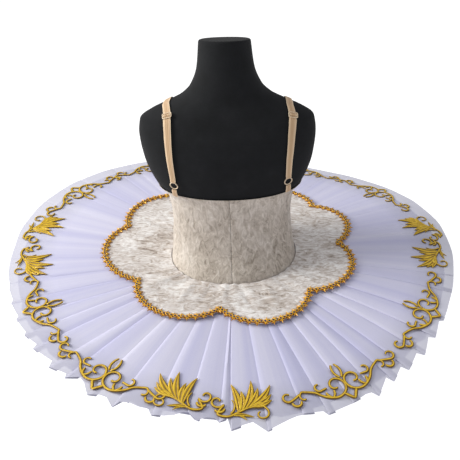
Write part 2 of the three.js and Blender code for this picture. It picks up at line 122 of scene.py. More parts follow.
def add_camera():
    """A camera a little to the right of the back seam, looking down on the skirt."""
    data = bpy.data.cameras.new("camera")
    data.sensor_width = 36
    data.lens = 50.1
    data.shift_x = -0.0707
    camera = bpy.data.objects.new("camera", data)
    pitch = Matrix.Rotation(math.radians(90 - CAMERA_DOWN), 4, "X")
    roll = Matrix.Rotation(math.radians(CAMERA_ROLL), 4, "Z")
    camera.matrix_world = Matrix.Translation(CAMERA_PLACE) @ pitch @ roll
    bpy.context.scene.collection.objects.link(camera)
    bpy.context.scene.camera = camera


def add_light(name, place, target, size, power, colour):
    """A soft square lamp at a place, turned towards a target."""
    data = bpy.data.lights.new(name, "AREA")
    data.size = size
    data.energy = power
    data.color = linear(colour)[:3]
    lamp = bpy.data.objects.new(name, data)
    lamp.location = place
    lamp.rotation_euler = (Vector(target) - Vector(place)).to_track_quat("-Z", "Y").to_euler()
    bpy.context.scene.collection.objects.link(lamp)


def add_studio():
    """White walls all round, a large window light on the left and two weak fills."""
    world = bpy.data.worlds.new("studio")
    world.use_nodes = True
    background = world.node_tree.nodes["Background"]
    background.inputs["Color"].default_value = linear("#F4F5FB")
    background.inputs["Strength"].default_value = 0.38
    bpy.context.scene.world = world
    bpy.context.scene.view_settings.view_transform = "Standard"
    add_light("window", (-2.4, 0.0, 1.6), (0, 0, 0.25), 1.2, 84, "#FFFDF8")
    add_light("overhead", (0.2, 0.5, 2.8), (0, 0, 0.2), 2.4, 16, "#FFFFFF")
    add_light("back_fill", (0.9, -2.6, 1.2), (0, 0, 0.3), 1.8, 4, "#FFFFFF")


# ---------------------------------------------------------------------------------------------
# Materials
# ---------------------------------------------------------------------------------------------

def add_node(tree, kind, settings=None, stops=None, **inputs):
    """Adds a node, sets its properties and fills its sockets with values or other nodes' outputs.

    A socket is named by its words joined with _, or by its number after an n."""
    made = tree.nodes.new(kind)
    for name, value in (settings or {}).items():
        setattr(made, name, value)
    if stops:
        ramp = made.color_ramp
        while len(ramp.elements) < len(stops):
            ramp.elements.new(0.5)
        for element, (position, colour) in zip(ramp.elements, stops):
            element.position = position
            element.color = linear(colour)
    for name, value in inputs.items():
        socket = made.inputs[int(name[1:])] if name[1:].isdigit() else made.inputs[name.replace("_", " ")]
        if isinstance(value, bpy.types.NodeSocket):
            tree.links.new(value, socket)
        else:
            socket.default_value = value
    return made


MULTIPLY = {"operation": "MULTIPLY"}
MULTIPLY_ADD = {"operation": "MULTIPLY_ADD"}


def feed(tree, shader, **sources):
    """Links outputs to the shader's sockets, which are named by their words joined with _."""
    for name, source in sources.items():
        tree.links.new(source, shader.inputs[name.replace("_", " ")])


def per_metre(millimetres):
    """The texture scale whose features are about this many millimetres across."""
    return 1000 / millimetres


def new_material(name, **constants):
    """A material with one Principled shader; constants are the values set on its own sockets."""
    material = bpy.data.materials.new(name)
    material.use_nodes = True
    shader = material.node_tree.nodes["Principled BSDF"]
    for key, value in constants.items():
        shader.inputs[key.replace("_", " ")].default_value = value
    return material, material.node_tree, shader


def black_jersey():
    """Cotton jersey pulled tight over foam: matt black, with a fine knit and a faint bloom of lint."""
    material, tree, shader = new_material(
        "cotton_jersey_black", Roughness=0.95, Specular_IOR_Level=0.15, Sheen_Weight=0.03, Sheen_Roughness=0.5
    )
    place = add_node(tree, "ShaderNodeTexCoord").outputs["Object"]
    # Lint and wear in clouds about 45 mm across.
    cloud = add_node(tree, "ShaderNodeTexNoise", Vector=place, Scale=per_metre(45), Detail=6.0, Roughness=0.7)
    colour = add_node(
        tree, "ShaderNodeValToRGB", stops=[(0.3, "#1B1C1D"), (0.55, "#1F2022"), (0.8, "#262628")],
        Fac=cloud.outputs["Fac"],
    )
    # Knit stitches are 0.7 mm apart and are drawn 1.6 mm apart, so that they show.
    knit = add_node(tree, "ShaderNodeTexVoronoi", Vector=place, Scale=per_metre(1.6))
    bump = add_node(tree, "ShaderNodeBump", Strength=0.25, Distance=0.0004, Height=knit.outputs["Distance"])
    feed(tree, shader, Base_Color=colour.outputs["Color"], Normal=bump.outputs["Normal"])
    return material


def crushed_velvet(name, colours, patch_mm, stretch, relief, positions):
    """Velvet whose pile is pressed every way: patches that catch light beside patches that don't.

    stretch lengthens the patches along each axis; positions are where the four colours stand."""
    material, tree, shader = new_material(
        name, Sheen_Weight=0.2, Sheen_Roughness=0.3, Specular_IOR_Level=0.45
    )
    place = add_node(tree, "ShaderNodeTexCoord").outputs["Object"]
    turned = add_node(tree, "ShaderNodeMapping", Vector=place, Scale=stretch).outputs["Vector"]
    patches = add_node(
        tree, "ShaderNodeTexNoise", Vector=turned, Scale=per_metre(patch_mm), Detail=10.0, Roughness=0.68,
        Distortion=1.8,
    )
    # Crush lines: thin wrinkles a few millimetres apart, mixed into the colour as painted highlights and
    # painted shade along the wrinkles.
    lines = add_node(
        tree, "ShaderNodeTexNoise", settings={"noise_type": "RIDGED_MULTIFRACTAL"}, Vector=turned,
        Scale=per_metre(patch_mm * 0.42), Detail=5.0, Roughness=0.6, Distortion=0.6,
    )
    broad = add_node(tree, "ShaderNodeTexNoise", Vector=place, Scale=per_metre(70), Detail=2.0)
    mixed = add_node(
        tree, "ShaderNodeMath", settings=MULTIPLY_ADD, n0=lines.outputs["Fac"], n1=0.16,
        n2=patches.outputs["Fac"],
    )
    level = add_node(
        tree, "ShaderNodeMath", settings=MULTIPLY_ADD, n0=broad.outputs["Fac"], n1=0.35,
        n2=mixed.outputs[0],
    )
    # Where the crush lines pass, the ramp's light end gives a painted highlight and its dark end painted
    # shade.
    colour = add_node(
        tree, "ShaderNodeValToRGB", stops=list(zip(positions, colours)), Fac=level.outputs[0]
    )
    gloss = add_node(
        tree, "ShaderNodeMapRange", Value=patches.outputs["Fac"], From_Min=0.3, From_Max=0.7, To_Min=0.78,
        To_Max=0.48,
    )
    bump = add_node(tree, "ShaderNodeBump", Strength=relief, Distance=0.0026, Height=mixed.outputs[0])
    feed(
        tree, shader, Base_Color=colour.outputs["Color"],
        Roughness=gloss.outputs["Result"],
        Normal=bump.outputs["Normal"],
    )
    return material


def tulle(name, alpha, pale, deep):
    """Nylon net: white with a cool violet cast, so fine that a little shows through one thickness."""
    material, tree, shader = new_material(name, Roughness=0.75, Specular_IOR_Level=0.2, Alpha=alpha)
    place = add_node(tree, "ShaderNodeTexCoord").outputs["Object"]
    flat = add_node(tree, "ShaderNodeMapping", Vector=place, Scale=(1, 1, 0)).outputs["Vector"]
    around = add_node(
        tree, "ShaderNodeVectorMath", settings={"operation": "NORMALIZE"}, n0=flat
    ).outputs["Vector"]
    # Streaks run from waist to rim, about 4 degrees wide: the net's gathers.
    streak = add_node(tree, "ShaderNodeTexNoise", Vector=around, Scale=13.0, Detail=3.0, Roughness=0.5)
    # Net cells are 1.2 mm across and are drawn 2.4 mm across, so that they show close up.
    cells = add_node(
        tree, "ShaderNodeTexVoronoi", settings={"feature": "DISTANCE_TO_EDGE"}, Vector=place,
        Scale=per_metre(2.4),
    )
    level = add_node(
        tree, "ShaderNodeMath", settings=MULTIPLY_ADD, n0=cells.outputs["Distance"], n1=-0.22,
        n2=streak.outputs["Fac"],
    )
    colour = add_node(
        tree, "ShaderNodeValToRGB", stops=[(0.2, deep), (0.66, pale)], Fac=level.outputs[0]
    )
    # Towards the rim fewer layers lie below; from 400 mm out the net is painted greyer, painted shade for the
    # thinner stack and the shadow seen through it.
    reach = add_node(tree, "ShaderNodeVectorMath", settings={"operation": "LENGTH"}, n0=flat)
    outer = add_node(
        tree, "ShaderNodeMapRange", Value=reach.outputs["Value"], From_Min=0.40, From_Max=0.485, To_Max=0.85
    )
    rim = add_node(
        tree, "ShaderNodeMix", settings={"data_type": "RGBA"}, n0=outer.outputs["Result"],
        n6=colour.outputs["Color"], n7=linear("#BFBFCD"),
    )
    bump = add_node(tree, "ShaderNodeBump", Strength=0.12, Distance=0.0005, Height=cells.outputs["Distance"])
    feed(tree, shader, Base_Color=rim.outputs[2], Normal=bump.outputs["Normal"])
    return material


def satin_stitch(name, edge, middle, crown, thread_mm):
    """Metallic embroidery thread laid side by side across each stroke: a painted highlight on top, painted
    shade at the edges.

    The piece's UV gives millimetres along the stroke and -1 to 1 across it."""
    material, tree, shader = new_material(name, Metallic=0.15, Roughness=0.34, Specular_IOR_Level=0.6)
    uv = add_node(tree, "ShaderNodeTexCoord").outputs["UV"]
    parts = add_node(tree, "ShaderNodeSeparateXYZ", Vector=uv)
    side = add_node(tree, "ShaderNodeMath", settings={"operation": "ABSOLUTE"}, n0=parts.outputs["Y"])
    # Threads are 0.4 mm wide and are drawn wider, so that they show; each leans a little.
    lean = add_node(
        tree, "ShaderNodeMath", settings=MULTIPLY_ADD, n0=parts.outputs["Y"], n1=0.5,
        n2=parts.outputs["X"],
    )
    turns = add_node(
        tree, "ShaderNodeMath", settings=MULTIPLY, n0=lean.outputs[0], n1=2 * math.pi / thread_mm
    )
    wave = add_node(tree, "ShaderNodeMath", settings={"operation": "SINE"}, n0=turns.outputs[0])
    place = add_node(tree, "ShaderNodeTexCoord").outputs["Object"]
    wear = add_node(tree, "ShaderNodeTexNoise", Vector=place, Scale=per_metre(9), Detail=3.0)
    # Random wear tone plus the distance from the stroke's middle, which darkens the edges with painted shade.
    wear_and_edge_shade = add_node(
        tree, "ShaderNodeMath", settings=MULTIPLY_ADD, n0=wear.outputs["Fac"], n1=0.5,
        n2=side.outputs[0],
    )
    threaded = add_node(
        tree, "ShaderNodeMath", settings=MULTIPLY_ADD, n0=wave.outputs[0], n1=-0.07,
        n2=wear_and_edge_shade.outputs[0],
    )
    # The crown colour is a painted highlight and the edge colour painted shade.
    colour = add_node(
        tree, "ShaderNodeValToRGB", stops=[(0.2, crown), (0.6, middle), (0.98, edge)],
        Fac=threaded.outputs[0],
    )
    bump = add_node(tree, "ShaderNodeBump", Strength=0.3, Distance=0.0003, Height=wave.outputs[0])
    feed(tree, shader, Base_Color=colour.outputs["Color"], Normal=bump.outputs["Normal"])
    return material


def glass_bead():
    """Dark faceted glass, mostly blue with some violet and teal: small and glossy."""
    material, tree, shader = new_material("glass_bead_dark_blue", Roughness=0.12, IOR=1.52)
    place = add_node(tree, "ShaderNodeTexCoord").outputs["Object"]
    pick = add_node(tree, "ShaderNodeTexNoise", Vector=place, Scale=per_metre(14), Detail=0.0)
    colour = add_node(
        tree, "ShaderNodeValToRGB",
        stops=[(0.35, "#10123A"), (0.5, "#2A1B52"), (0.58, "#0F2F6E"), (0.72, "#0E4A55")],
        Fac=pick.outputs["Fac"],
    )
    feed(tree, shader, Base_Color=colour.outputs["Color"])
    return material


def ribbed_elastic():
    """Woven plush elastic: ribs along its length and a cross grain, skin-coloured with pale edges."""
    material, tree, shader = new_material(
        "plush_elastic_beige", Roughness=0.72, Specular_IOR_Level=0.3, Sheen_Weight=0.2
    )
    uv = add_node(tree, "ShaderNodeTexCoord").outputs["UV"]
    parts = add_node(tree, "ShaderNodeSeparateXYZ", Vector=uv)
    side = add_node(tree, "ShaderNodeMath", settings={"operation": "ABSOLUTE"}, n0=parts.outputs["Y"])
    # Four ribs across the 15 mm width.
    ribs = add_node(
        tree, "ShaderNodeMath", settings=MULTIPLY, n0=parts.outputs["Y"], n1=4 * math.pi
    )
    rib = add_node(tree, "ShaderNodeMath", settings={"operation": "COSINE"}, n0=ribs.outputs[0])
    # Weft threads 1.2 mm apart along the strap.
    picks = add_node(
        tree, "ShaderNodeMath", settings=MULTIPLY, n0=parts.outputs["X"], n1=2 * math.pi / 1.2
    )
    weft = add_node(tree, "ShaderNodeMath", settings={"operation": "SINE"}, n0=picks.outputs[0])
    grain = add_node(
        tree, "ShaderNodeMath", settings=MULTIPLY_ADD, n0=weft.outputs[0], n1=0.3,
        n2=rib.outputs[0],
    )
    shade = add_node(
        tree, "ShaderNodeMath", settings=MULTIPLY_ADD, n0=grain.outputs[0], n1=0.11,
        n2=side.outputs[0],
    )
    colour = add_node(
        tree, "ShaderNodeValToRGB", stops=[(0.0, "#C2A27E"), (0.55, "#CCAB86"), (0.85, "#E6CDAC")],
        Fac=shade.outputs[0],
    )
    bump = add_node(tree, "ShaderNodeBump", Strength=0.35, Distance=0.0003, Height=grain.outputs[0])
    feed(tree, shader, Base_Color=colour.outputs["Color"], Normal=bump.outputs["Normal"])
    return material


def moulded_plastic():
    """Nylon fittings moulded in beige: a soft gloss with faint flow marks."""
    material, tree, shader = new_material("moulded_nylon_beige", Roughness=0.34, IOR=1.53)
    place = add_node(tree, "ShaderNodeTexCoord").outputs["Object"]
    flow = add_node(tree, "ShaderNodeTexNoise", Vector=place, Scale=per_metre(6), Detail=3.0)
    colour = add_node(
        tree, "ShaderNodeValToRGB", stops=[(0.3, "#DCC3A2"), (0.7, "#EBD8BC")], Fac=flow.outputs["Fac"]
    )
    gloss = add_node(
        tree, "ShaderNodeMapRange", Value=flow.outputs["Fac"], From_Min=0.3, From_Max=0.7, To_Min=0.28,
        To_Max=0.42,
    )
    feed(tree, shader, Base_Color=colour.outputs["Color"], Roughness=gloss.outputs["Result"])
    return material


def yoke_cotton():
    """Plain-woven white cotton band, slightly creased by the net's gathering thread."""
    material, tree, shader = new_material("cotton_calico_white", Roughness=0.85, Specular_IOR_Level=0.25)
    place = add_node(tree, "ShaderNodeTexCoord").outputs["Object"]
    # The weave is 0.5 mm and is drawn 1.5 mm, so that it shows.
    weave = add_node(
        tree, "ShaderNodeTexWave", settings={"bands_direction": "Z"}, Vector=place,
        Scale=per_metre(1.5) / 6.28, Distortion=2.0,
    )
    cloud = add_node(tree, "ShaderNodeTexNoise", Vector=place, Scale=per_metre(30), Detail=5.0)
    colour = add_node(
        tree, "ShaderNodeValToRGB", stops=[(0.3, "#D9D8E2"), (0.7, "#E9E8F0")], Fac=cloud.outputs["Fac"]
    )
    bump = add_node(tree, "ShaderNodeBump", Strength=0.2, Distance=0.0003, Height=weave.outputs["Fac"])
    feed(tree, shader, Base_Color=colour.outputs["Color"], Normal=bump.outputs["Normal"])
    return material


def floor_paper():
    """Seamless white studio paper, lit from below as on a light table, so that shadows stay pale."""
    material, _, shader = new_material(
        "studio_paper_white", Roughness=1.0, Specular_IOR_Level=0.0, Emission_Strength=0.92
    )
    shader.inputs["Base Color"].default_value = linear("#9C9C9C")
    shader.inputs["Emission Color"].default_value = (1, 1, 1, 1)
    return material


# ---------------------------------------------------------------------------------------------
# Mesh helpers
# ---------------------------------------------------------------------------------------------

def grid_faces(columns, rows, closed=False):
    """Quads of a grid of points numbered a column at a time; a closed one joins its last column
    to its first."""
    i, j = np.meshgrid(np.arange(columns if closed else columns - 1), np.arange(rows - 1), indexing="ij")
    n = (i + 1) % columns
    return np.stack([i * rows + j, n * rows + j, n * rows + j + 1, i * rows + j + 1], -1).reshape(-1, 4)


def sheet_part(points):
    """An open surface through a closed ring of columns."""
    return points.reshape(-1, 3), [grid_faces(*points.shape[:2], closed=True)], None


def shell_part(outer, inner, closed):
    """A wall between two grids. Its edges bulge by a third of its thickness, as a turned edge does."""
    columns, rows = outer.shape[:2]

    def rim(side, before):
        middle = (side(outer) + side(inner)) / 2
        away = middle - (before(outer) + before(inner)) / 2
        away /= np.maximum(np.linalg.norm(away, axis=-1, keepdims=True), 1e-9)
        thick = np.linalg.norm(side(outer) - side(inner), axis=-1, keepdims=True)
        return middle + away * thick / 3

    low = rim(lambda g: g[:, 0], lambda g: g[:, 1])
    high = rim(lambda g: g[:, -1], lambda g: g[:, -2])
    # One grid runs up the outer side, over the top edge, down the inner side and round the lower one.
    loop = np.concatenate([outer, high[:, None], inner[:, ::-1], low[:, None]], axis=1)
    count = loop.shape[1]
    index = np.arange(columns * count).reshape(columns, count)
    index = np.concatenate([index, index[:, :1]], axis=1)
    i, j = np.meshgrid(np.arange(columns if closed else columns - 1), np.arange(count), indexing="ij")
    n = (i + 1) % columns
    quads = [np.stack([index[i, j], index[n, j], index[n, j + 1], index[i, j + 1]], -1).reshape(-1, 4)]
    if closed:
        return loop.reshape(-1, 3), quads, None
    # Each end is closed by quads between the two sides, with a triangle at the lower and upper bulge.
    tris = []
    for end, turn in ((0, 1), (columns - 1, -1)):
        k = np.arange(rows - 1)
        a, b = index[end, k], index[end, k + 1]
        c, d = index[end, 2 * rows - 1 - k], index[end, 2 * rows - k]
        quads.append(np.stack([a, b, c, d], -1)[:, ::turn])
        top = np.array([[index[end, rows - 1], index[end, rows], index[end, rows + 1]]])
        bottom = np.array([[index[end, 2 * rows], index[end, 2 * rows + 1], index[end, 0]]])
        tris += [top[:, ::turn], bottom[:, ::turn]]
    faces = [np.concatenate([q.reshape(-1, 4) for q in quads]), np.concatenate(tris)]
    return loop.reshape(-1, 3), faces, None


def sweep_part(path, side, section, closed=False, size=None):
    """Carries a closed section along a path: point + side·a + up·b, up being square to path and side.

    size scales the section at each station. UV is the length along, then the section's own -1 to 1."""
    path = np.asarray(path, float)
    if closed:
        tangent = np.roll(path, -1, 0) - np.roll(path, 1, 0)
    else:
        tangent = np.gradient(path, axis=0)
    tangent /= np.maximum(np.linalg.norm(tangent, axis=1, keepdims=True), 1e-9)
    up = np.cross(side, tangent)
    up /= np.maximum(np.linalg.norm(up, axis=1, keepdims=True), 1e-9)
    side = np.cross(tangent, up)
    section = np.broadcast_to(section, (len(path),) + np.shape(section)[-2:])
    size = np.ones((len(path), 2)) if size is None else size
    a = (section[..., 0] * size[:, :1])[..., None]
    b = (section[..., 1] * size[:, 1:])[..., None]
    points = path[:, None] + side[:, None] * a + up[:, None] * b
    stations, corners = points.shape[:2]
    index = np.arange(stations * corners).reshape(stations, corners)
    last = stations if closed else stations - 1
    i, j = np.meshgrid(np.arange(last), np.arange(corners), indexing="ij")
    n, m = (i + 1) % stations, (j + 1) % corners
    faces = [np.stack([index[i, j], index[n, j], index[n, m], index[i, m]], -1).reshape(-1, 4)]
    if not closed:
        faces.append(np.stack([index[0, :], index[-1, ::-1]]))
    along = np.concatenate([[0], np.cumsum(np.linalg.norm(np.diff(path, axis=0), axis=1))])
    widest = np.maximum(np.abs(section[..., 0]).max(-1, keepdims=True), 1e-9)
    uv = np.stack([np.broadcast_to(along[:, None], (stations, corners)), section[..., 0] / widest], -1)
    return points.reshape(-1, 3), faces, uv.reshape(-1, 2)


def signed_volume(points, faces):
    """The volume that the faces enclose, negative if they face in."""
    total = 0.0
    for group in faces:
        for k in range(1, group.shape[1] - 1):
            a, b, c = points[group[:, 0]], points[group[:, k]], points[group[:, k + 1]]
            total += float(np.einsum("ij,ij->", a, np.cross(b, c))) / 6
    return total


def facing_up(points, faces):
    """Above zero if an open sheet's faces look up on the whole."""
    quads = faces[0]
    one, other = points[quads[:, 2]] - points[quads[:, 0]], points[quads[:, 3]] - points[quads[:, 1]]
    return float(np.cross(one, other)[:, 2].sum())


def add_piece(name, parts, material, replaces=(), sharp=50, is_open=False):
    """Joins parts (points in mm, faces, UVs) into one mesh piece that rides on the root body."""
    points, starts, corners, uvs = [], [], [], []
    offset, first = 0, 0
    for part_points, faces, uv in parts:
        measure = facing_up if is_open else signed_volume
        turn = -1 if measure(part_points, faces) < 0 else 1
        for group in faces:
            group = group[:, ::turn]
            corners.append((group + offset).ravel())
            starts.append(first + np.arange(len(group)) * group.shape[1])
            first += group.size
            uvs.append(np.zeros((group.size, 2)) if uv is None else uv[group.ravel()])
        points.append(part_points)
        offset += len(part_points)
    points, corners, starts = np.concatenate(points) * MM, np.concatenate(corners), np.concatenate(starts)
    mesh = bpy.data.meshes.new(name)
    mesh.vertices.add(len(points))
    mesh.vertices.foreach_set("co", points.astype(np.float32).ravel())
    mesh.loops.add(len(corners))
    mesh.loops.foreach_set("vertex_index", corners.astype(np.int32))
    mesh.polygons.add(len(starts))
    mesh.polygons.foreach_set("loop_start", starts.astype(np.int32))
    mesh.update(calc_edges=True)
    mesh.validate()
    layer = mesh.uv_layers.new(name="UVMap")
    layer.data.foreach_set("uv", np.concatenate(uvs).astype(np.float32).ravel())
    mesh.polygons.foreach_set("use_smooth", np.ones(len(starts), bool))
    mesh.set_sharp_from_angle(angle=math.radians(sharp))
    mesh.materials.append(material)
    piece = bpy.data.objects.new(name, mesh)
    bpy.context.scene.collection.objects.link(piece)
    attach(piece, "root")
    if replaces:
        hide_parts(*replaces)
    return piece


def smooth_column(column):
    """A monotone cubic up the body's sections: a tangent is the harmonic mean of the slopes beside it."""
    xs, ys = BODY_SECTIONS[:, 0], BODY_SECTIONS[:, column]
    slopes = np.diff(ys) / np.diff(xs)
    product, total = slopes[:-1] * slopes[1:], slopes[:-1] + slopes[1:]
    between = np.where(product > 0, 2 * product / np.where(total == 0, 1, total), 0)
    tangents = np.concatenate([slopes[:1], between, slopes[-1:]])

    def at(x):
        i = np.clip(np.searchsorted(xs, x, side="right") - 1, 0, len(xs) - 2)
        span = xs[i + 1] - xs[i]
        u = np.clip((x - xs[i]) / span, 0, 1)
        share = u * u * (3 - 2 * u)
        rise = span * (tangents[i] * u * (u - 1) ** 2 + tangents[i + 1] * u * u * (u - 1))
        return ys[i] * (1 - share) + ys[i + 1] * share + rise

    return at


half_width, back_depth, front_depth, centre_y, section_tilt = (smooth_column(k) for k in range(1, 6))


def body_point(t, z, out=0.0):
    """The body's surface moved out: a superellipse of power 2.2 round each height, leaning by its tilt."""
    t, z, out = np.broadcast_arrays(t, z, out)
    width = half_width(z) + out
    depth = np.where(np.cos(t) > 0, back_depth(z), front_depth(z)) + out
    across = (np.abs(np.sin(t)) / width) ** BODY_POWER
    radius = (across + (np.abs(np.cos(t)) / depth) ** BODY_POWER) ** (-1 / BODY_POWER)
    y = -radius * np.cos(t)
    return np.stack([radius * np.sin(t), centre_y(z) + y, z - y * np.tan(np.radians(section_tilt(z)))], -1)


def body_depth(point):
    """Below one inside the body and above one outside it."""
    x, y, z = point[..., 0], point[..., 1], point[..., 2]
    dy = y - centre_y(z)
    depth = np.where(dy < 0, back_depth(z), front_depth(z))
    return (np.abs(x) / half_width(z)) ** BODY_POWER + (np.abs(dy) / depth) ** BODY_POWER


def rim_radius(t):
    """The skirt's rim: a circle whose centre lies a little before the body's axis."""
    return -RIM_CENTRE_Y * np.cos(t) + np.sqrt(SKIRT_RADIUS ** 2 - (RIM_CENTRE_Y * np.sin(t)) ** 2)


def skirt_height(x, y):
    """Height of the top layer's pleat ridges: a shallow dome, 16(1 - s³), and the rim's wave times s^1.5."""
    t = np.arctan2(x, -y)
    s = np.clip((np.hypot(x, y) - HIP_RADIUS) / (rim_radius(t) - HIP_RADIUS), 0, 1.05)
    wave = RIM_WAVE_MEAN + sum(
        c * np.cos((k + 1) * t) + d * np.sin((k + 1) * t)
        for k, (c, d) in enumerate(zip(RIM_WAVE_COS, RIM_WAVE_SIN))
    )
    return SKIRT_LEVEL + WAIST_RISE * (1 - s ** 3) + wave * s ** 1.5


def pleat_share(t):
    """One across the back, fading to almost nothing at the hips and front, where the net lies smooth."""
    u = np.clip((np.cos(t) - 0.12) / 0.5, 0, 1)
    return 0.06 + 0.94 * u * u * (3 - 2 * u)


def uneven(i):
    """Shares about one that repeat only after many pleats."""
    return 1 + 0.3 * np.sin(2.4 * i) + 0.18 * np.sin(5.1 * i + 1)


def smooth_path(knots, step=1.6):
    """A Catmull-Rom curve through the knots, its points spaced evenly."""
    knots = np.asarray(knots, float)
    padded = np.concatenate([2 * knots[:1] - knots[1:2], knots, 2 * knots[-1:] - knots[-2:-1]])
    u = np.linspace(0, 1, 14, endpoint=False)[None, :, None]
    a, b, c, d = (padded[k:len(padded) - 3 + k, None] for k in range(4))
    second, third = 2 * a - 5 * b + 4 * c - d, 3 * b - a - 3 * c + d
    curve = 0.5 * (2 * b + (c - a) * u + second * u ** 2 + third * u ** 3)
    curve = np.concatenate([curve.reshape(-1, knots.shape[1]), knots[-1:]])
    along = np.concatenate([[0], np.cumsum(np.linalg.norm(np.diff(curve, axis=0), axis=1))])
    even = np.linspace(0, along[-1], max(int(along[-1] / step) + 1, 4))
    return np.stack([np.interp(even, along, curve[:, k]) for k in range(knots.shape[1])], -1)


# ---------------------------------------------------------------------------------------------
# The dress form
# ---------------------------------------------------------------------------------------------

NECK_ROUNDING = 3               # radius of the neck's top edge


def form_part():
    """The body from base to neck, its rings closing to a point at both ends over a rounded neck edge."""
    t = np.linspace(0, 2 * math.pi, 144, endpoint=False)[:, None]
    z = np.concatenate([np.linspace(0, 540, 110), np.linspace(545, FORM_TOP - NECK_ROUNDING, 60)])
    sides = body_point(t, z[None])
    edge, r = FORM_TOP - NECK_ROUNDING, NECK_ROUNDING
    rounding = [body_point(t, edge + r * math.sin(a), -r + r * math.cos(a)) for a in (0.5, 1.0, 1.4)]
    top = [body_point(t, FORM_TOP, -inset) for inset in (6, 22, 38)]
    base = [body_point(t, 0.0, -inset) for inset in (90, 45, 4)]
    rings = np.concatenate(base + [sides] + rounding + top, axis=1)
    columns, rows = rings.shape[:2]
    low, high = rings[:, 0].mean(0), rings[:, -1].mean(0)
    points = np.concatenate([rings.reshape(-1, 3), [low, high]])
    i = np.arange(columns)
    n = (i + 1) % columns
    bottom = np.stack([n * rows, i * rows, np.full(columns, columns * rows)], -1)
    crown = np.stack([i * rows + rows - 1, n * rows + rows - 1, np.full(columns, columns * rows + 1)], -1)
    return points, [grid_faces(columns, rows, closed=True), np.concatenate([bottom, crown])], None


# ---------------------------------------------------------------------------------------------
# The bodice and yoke
# ---------------------------------------------------------------------------------------------

# Soft creases in the bodice: the angle and height of the middle, how far each reaches along and across
# its line, its lean from upright in degrees, and its depth. Millimetres but for the two angles.
BODICE_CREASES = np.array([
    [-78, 345, 46, 5.0, 4, -0.9],
    [-70, 320, 60, 4.0, -3, 0.8],
    [-64, 300, 52, 5.0, -8, -0.9],
    [-58, 355, 36, 4.5, -18, 0.6],
    [-50, 290, 40, 6.0, -22, -0.5],
    [-84, 270, 30, 7.0, 12, 0.6],
    [-34, 250, 30, 9.0, -40, -0.4],
    [22, 262, 34, 9.0, 35, -0.4],
    [52, 335, 44, 6.0, 10, -0.6],
    [66, 300, 50, 5.0, 4, 0.7],
    [78, 330, 52, 4.5, -4, -0.9],
    [104, 300, 50, 5.0, 6, -0.8],
    [118, 345, 38, 6.0, 20, 0.6],
    [150, 290, 34, 8.0, 30, -0.5],
    [-106, 310, 48, 5.0, -6, -0.8],
    [-124, 350, 36, 6.0, -18, 0.6],
    [-152, 285, 36, 8.0, -34, -0.5],
])

HEM_DEPTH = 10                  # turned top edge of the bodice
STITCH_ROWS = (8.2, 5.4)        # two rows of stitching below the top edge
BODICE_THICKNESS = 1.5
BODICE_OUT = 3.3                # the bodice's face above the body
SEAM_INSET = 0.18 + 0.1         # half the gap at a seam, and half the turned edge's bulge
CHEST_RADIUS = 130              # turns an angle round the chest into millimetres
PUCKER_PITCH = 22               # one pucker beside a seam
YOKE_OUT = 3.5
YOKE_THICKNESS = 1.3


def bodice_top(t):
    """The top edge: low across the back, rising over the bust, with a dip at the centre front."""
    front = np.clip(-np.cos(t), 0, 1)
    back = np.clip(np.cos(t), 0, 1)
    dip = np.clip(1 - np.abs(np.abs(t) - math.pi) / DIP_HALF_ANGLE, 0, 1)
    return UNDERARM_TOP - BACK_DIP * back + FRONT_RISE * front ** 0.8 - FRONT_DIP * dip


def creased(t, z, creases, radius):
    """The sum of soft ridges: depth times a bell curve along and across each crease's leaning line."""
    total = np.zeros(np.broadcast(t, z).shape)
    for degrees, height, reach, half, lean, depth in creases:
        turn = (t - math.radians(degrees) + math.pi) % (2 * math.pi) - math.pi
        across, up = turn * radius, z - height
        c, s = math.cos(math.radians(lean)), math.sin(math.radians(lean))
        total += depth * np.exp(-((across * c - up * s) / half) ** 2 - ((across * s + up * c) / reach) ** 2)
    return total


def bodice_part(start, end, columns):
    """A panel of the bodice between two seams: body surface + 3.3 mm + creases and a hem."""
    rows = 110
    t = np.linspace(start, end, columns)[:, None]
    radius = np.hypot(*np.moveaxis(body_point(t, 330)[..., :2], -1, 0))
    t = t + np.where(np.arange(columns) == 0, SEAM_INSET, 0)[:, None] / radius
    t = t - np.where(np.arange(columns) == columns - 1, SEAM_INSET, 0)[:, None] / radius
    turned = np.where(t > math.pi, t - 2 * math.pi, t)
    share = np.linspace(0, 1, rows)[None]
    z = BODICE_BOTTOM + (bodice_top(turned) - BODICE_BOTTOM) * share
    below = bodice_top(turned) - z
    hem = 1.0 / (1 + np.exp((below - HEM_DEPTH) * 2.2))
    stitches = sum(-0.8 * np.exp(-((below - row) / 0.9) ** 2) for row in STITCH_ROWS)
    # Puckers beside the seams, and a groove at each.
    seam = np.minimum(np.abs(t - start), np.abs(end - t)) * CHEST_RADIUS
    pucker = 0.35 * np.exp(-seam / 5) * np.sin(z * 2 * math.pi / PUCKER_PITCH) - 0.7 * np.exp(-seam / 2.2)
    out = BODICE_OUT + hem + stitches + pucker + creased(turned, z, BODICE_CREASES, CHEST_RADIUS)
    outer = body_point(t, z, out)
    inner = body_point(t, z, out - BODICE_THICKNESS)
    return shell_part(outer, inner, closed=False)


def yoke_part():
    """The hip band: body surface + 3.5 mm, with small gathers where the net is sewn to it."""
    t = np.linspace(0, 2 * math.pi, 240, endpoint=False)[:, None]
    z = np.linspace(YOKE_BOTTOM, BODICE_BOTTOM - 0.6, 40)[None]
    gathers = 0.35 * np.sin(70 * t + 3 * np.sin(5 * t)) * (z - YOKE_BOTTOM) / (BODICE_BOTTOM - YOKE_BOTTOM)
    outer = body_point(t, z, YOKE_OUT + gathers)
    inner = body_point(t, z, YOKE_OUT - YOKE_THICKNESS + gathers)
    return shell_part(outer, inner, closed=True)


# ---------------------------------------------------------------------------------------------
# The net skirt
# ---------------------------------------------------------------------------------------------

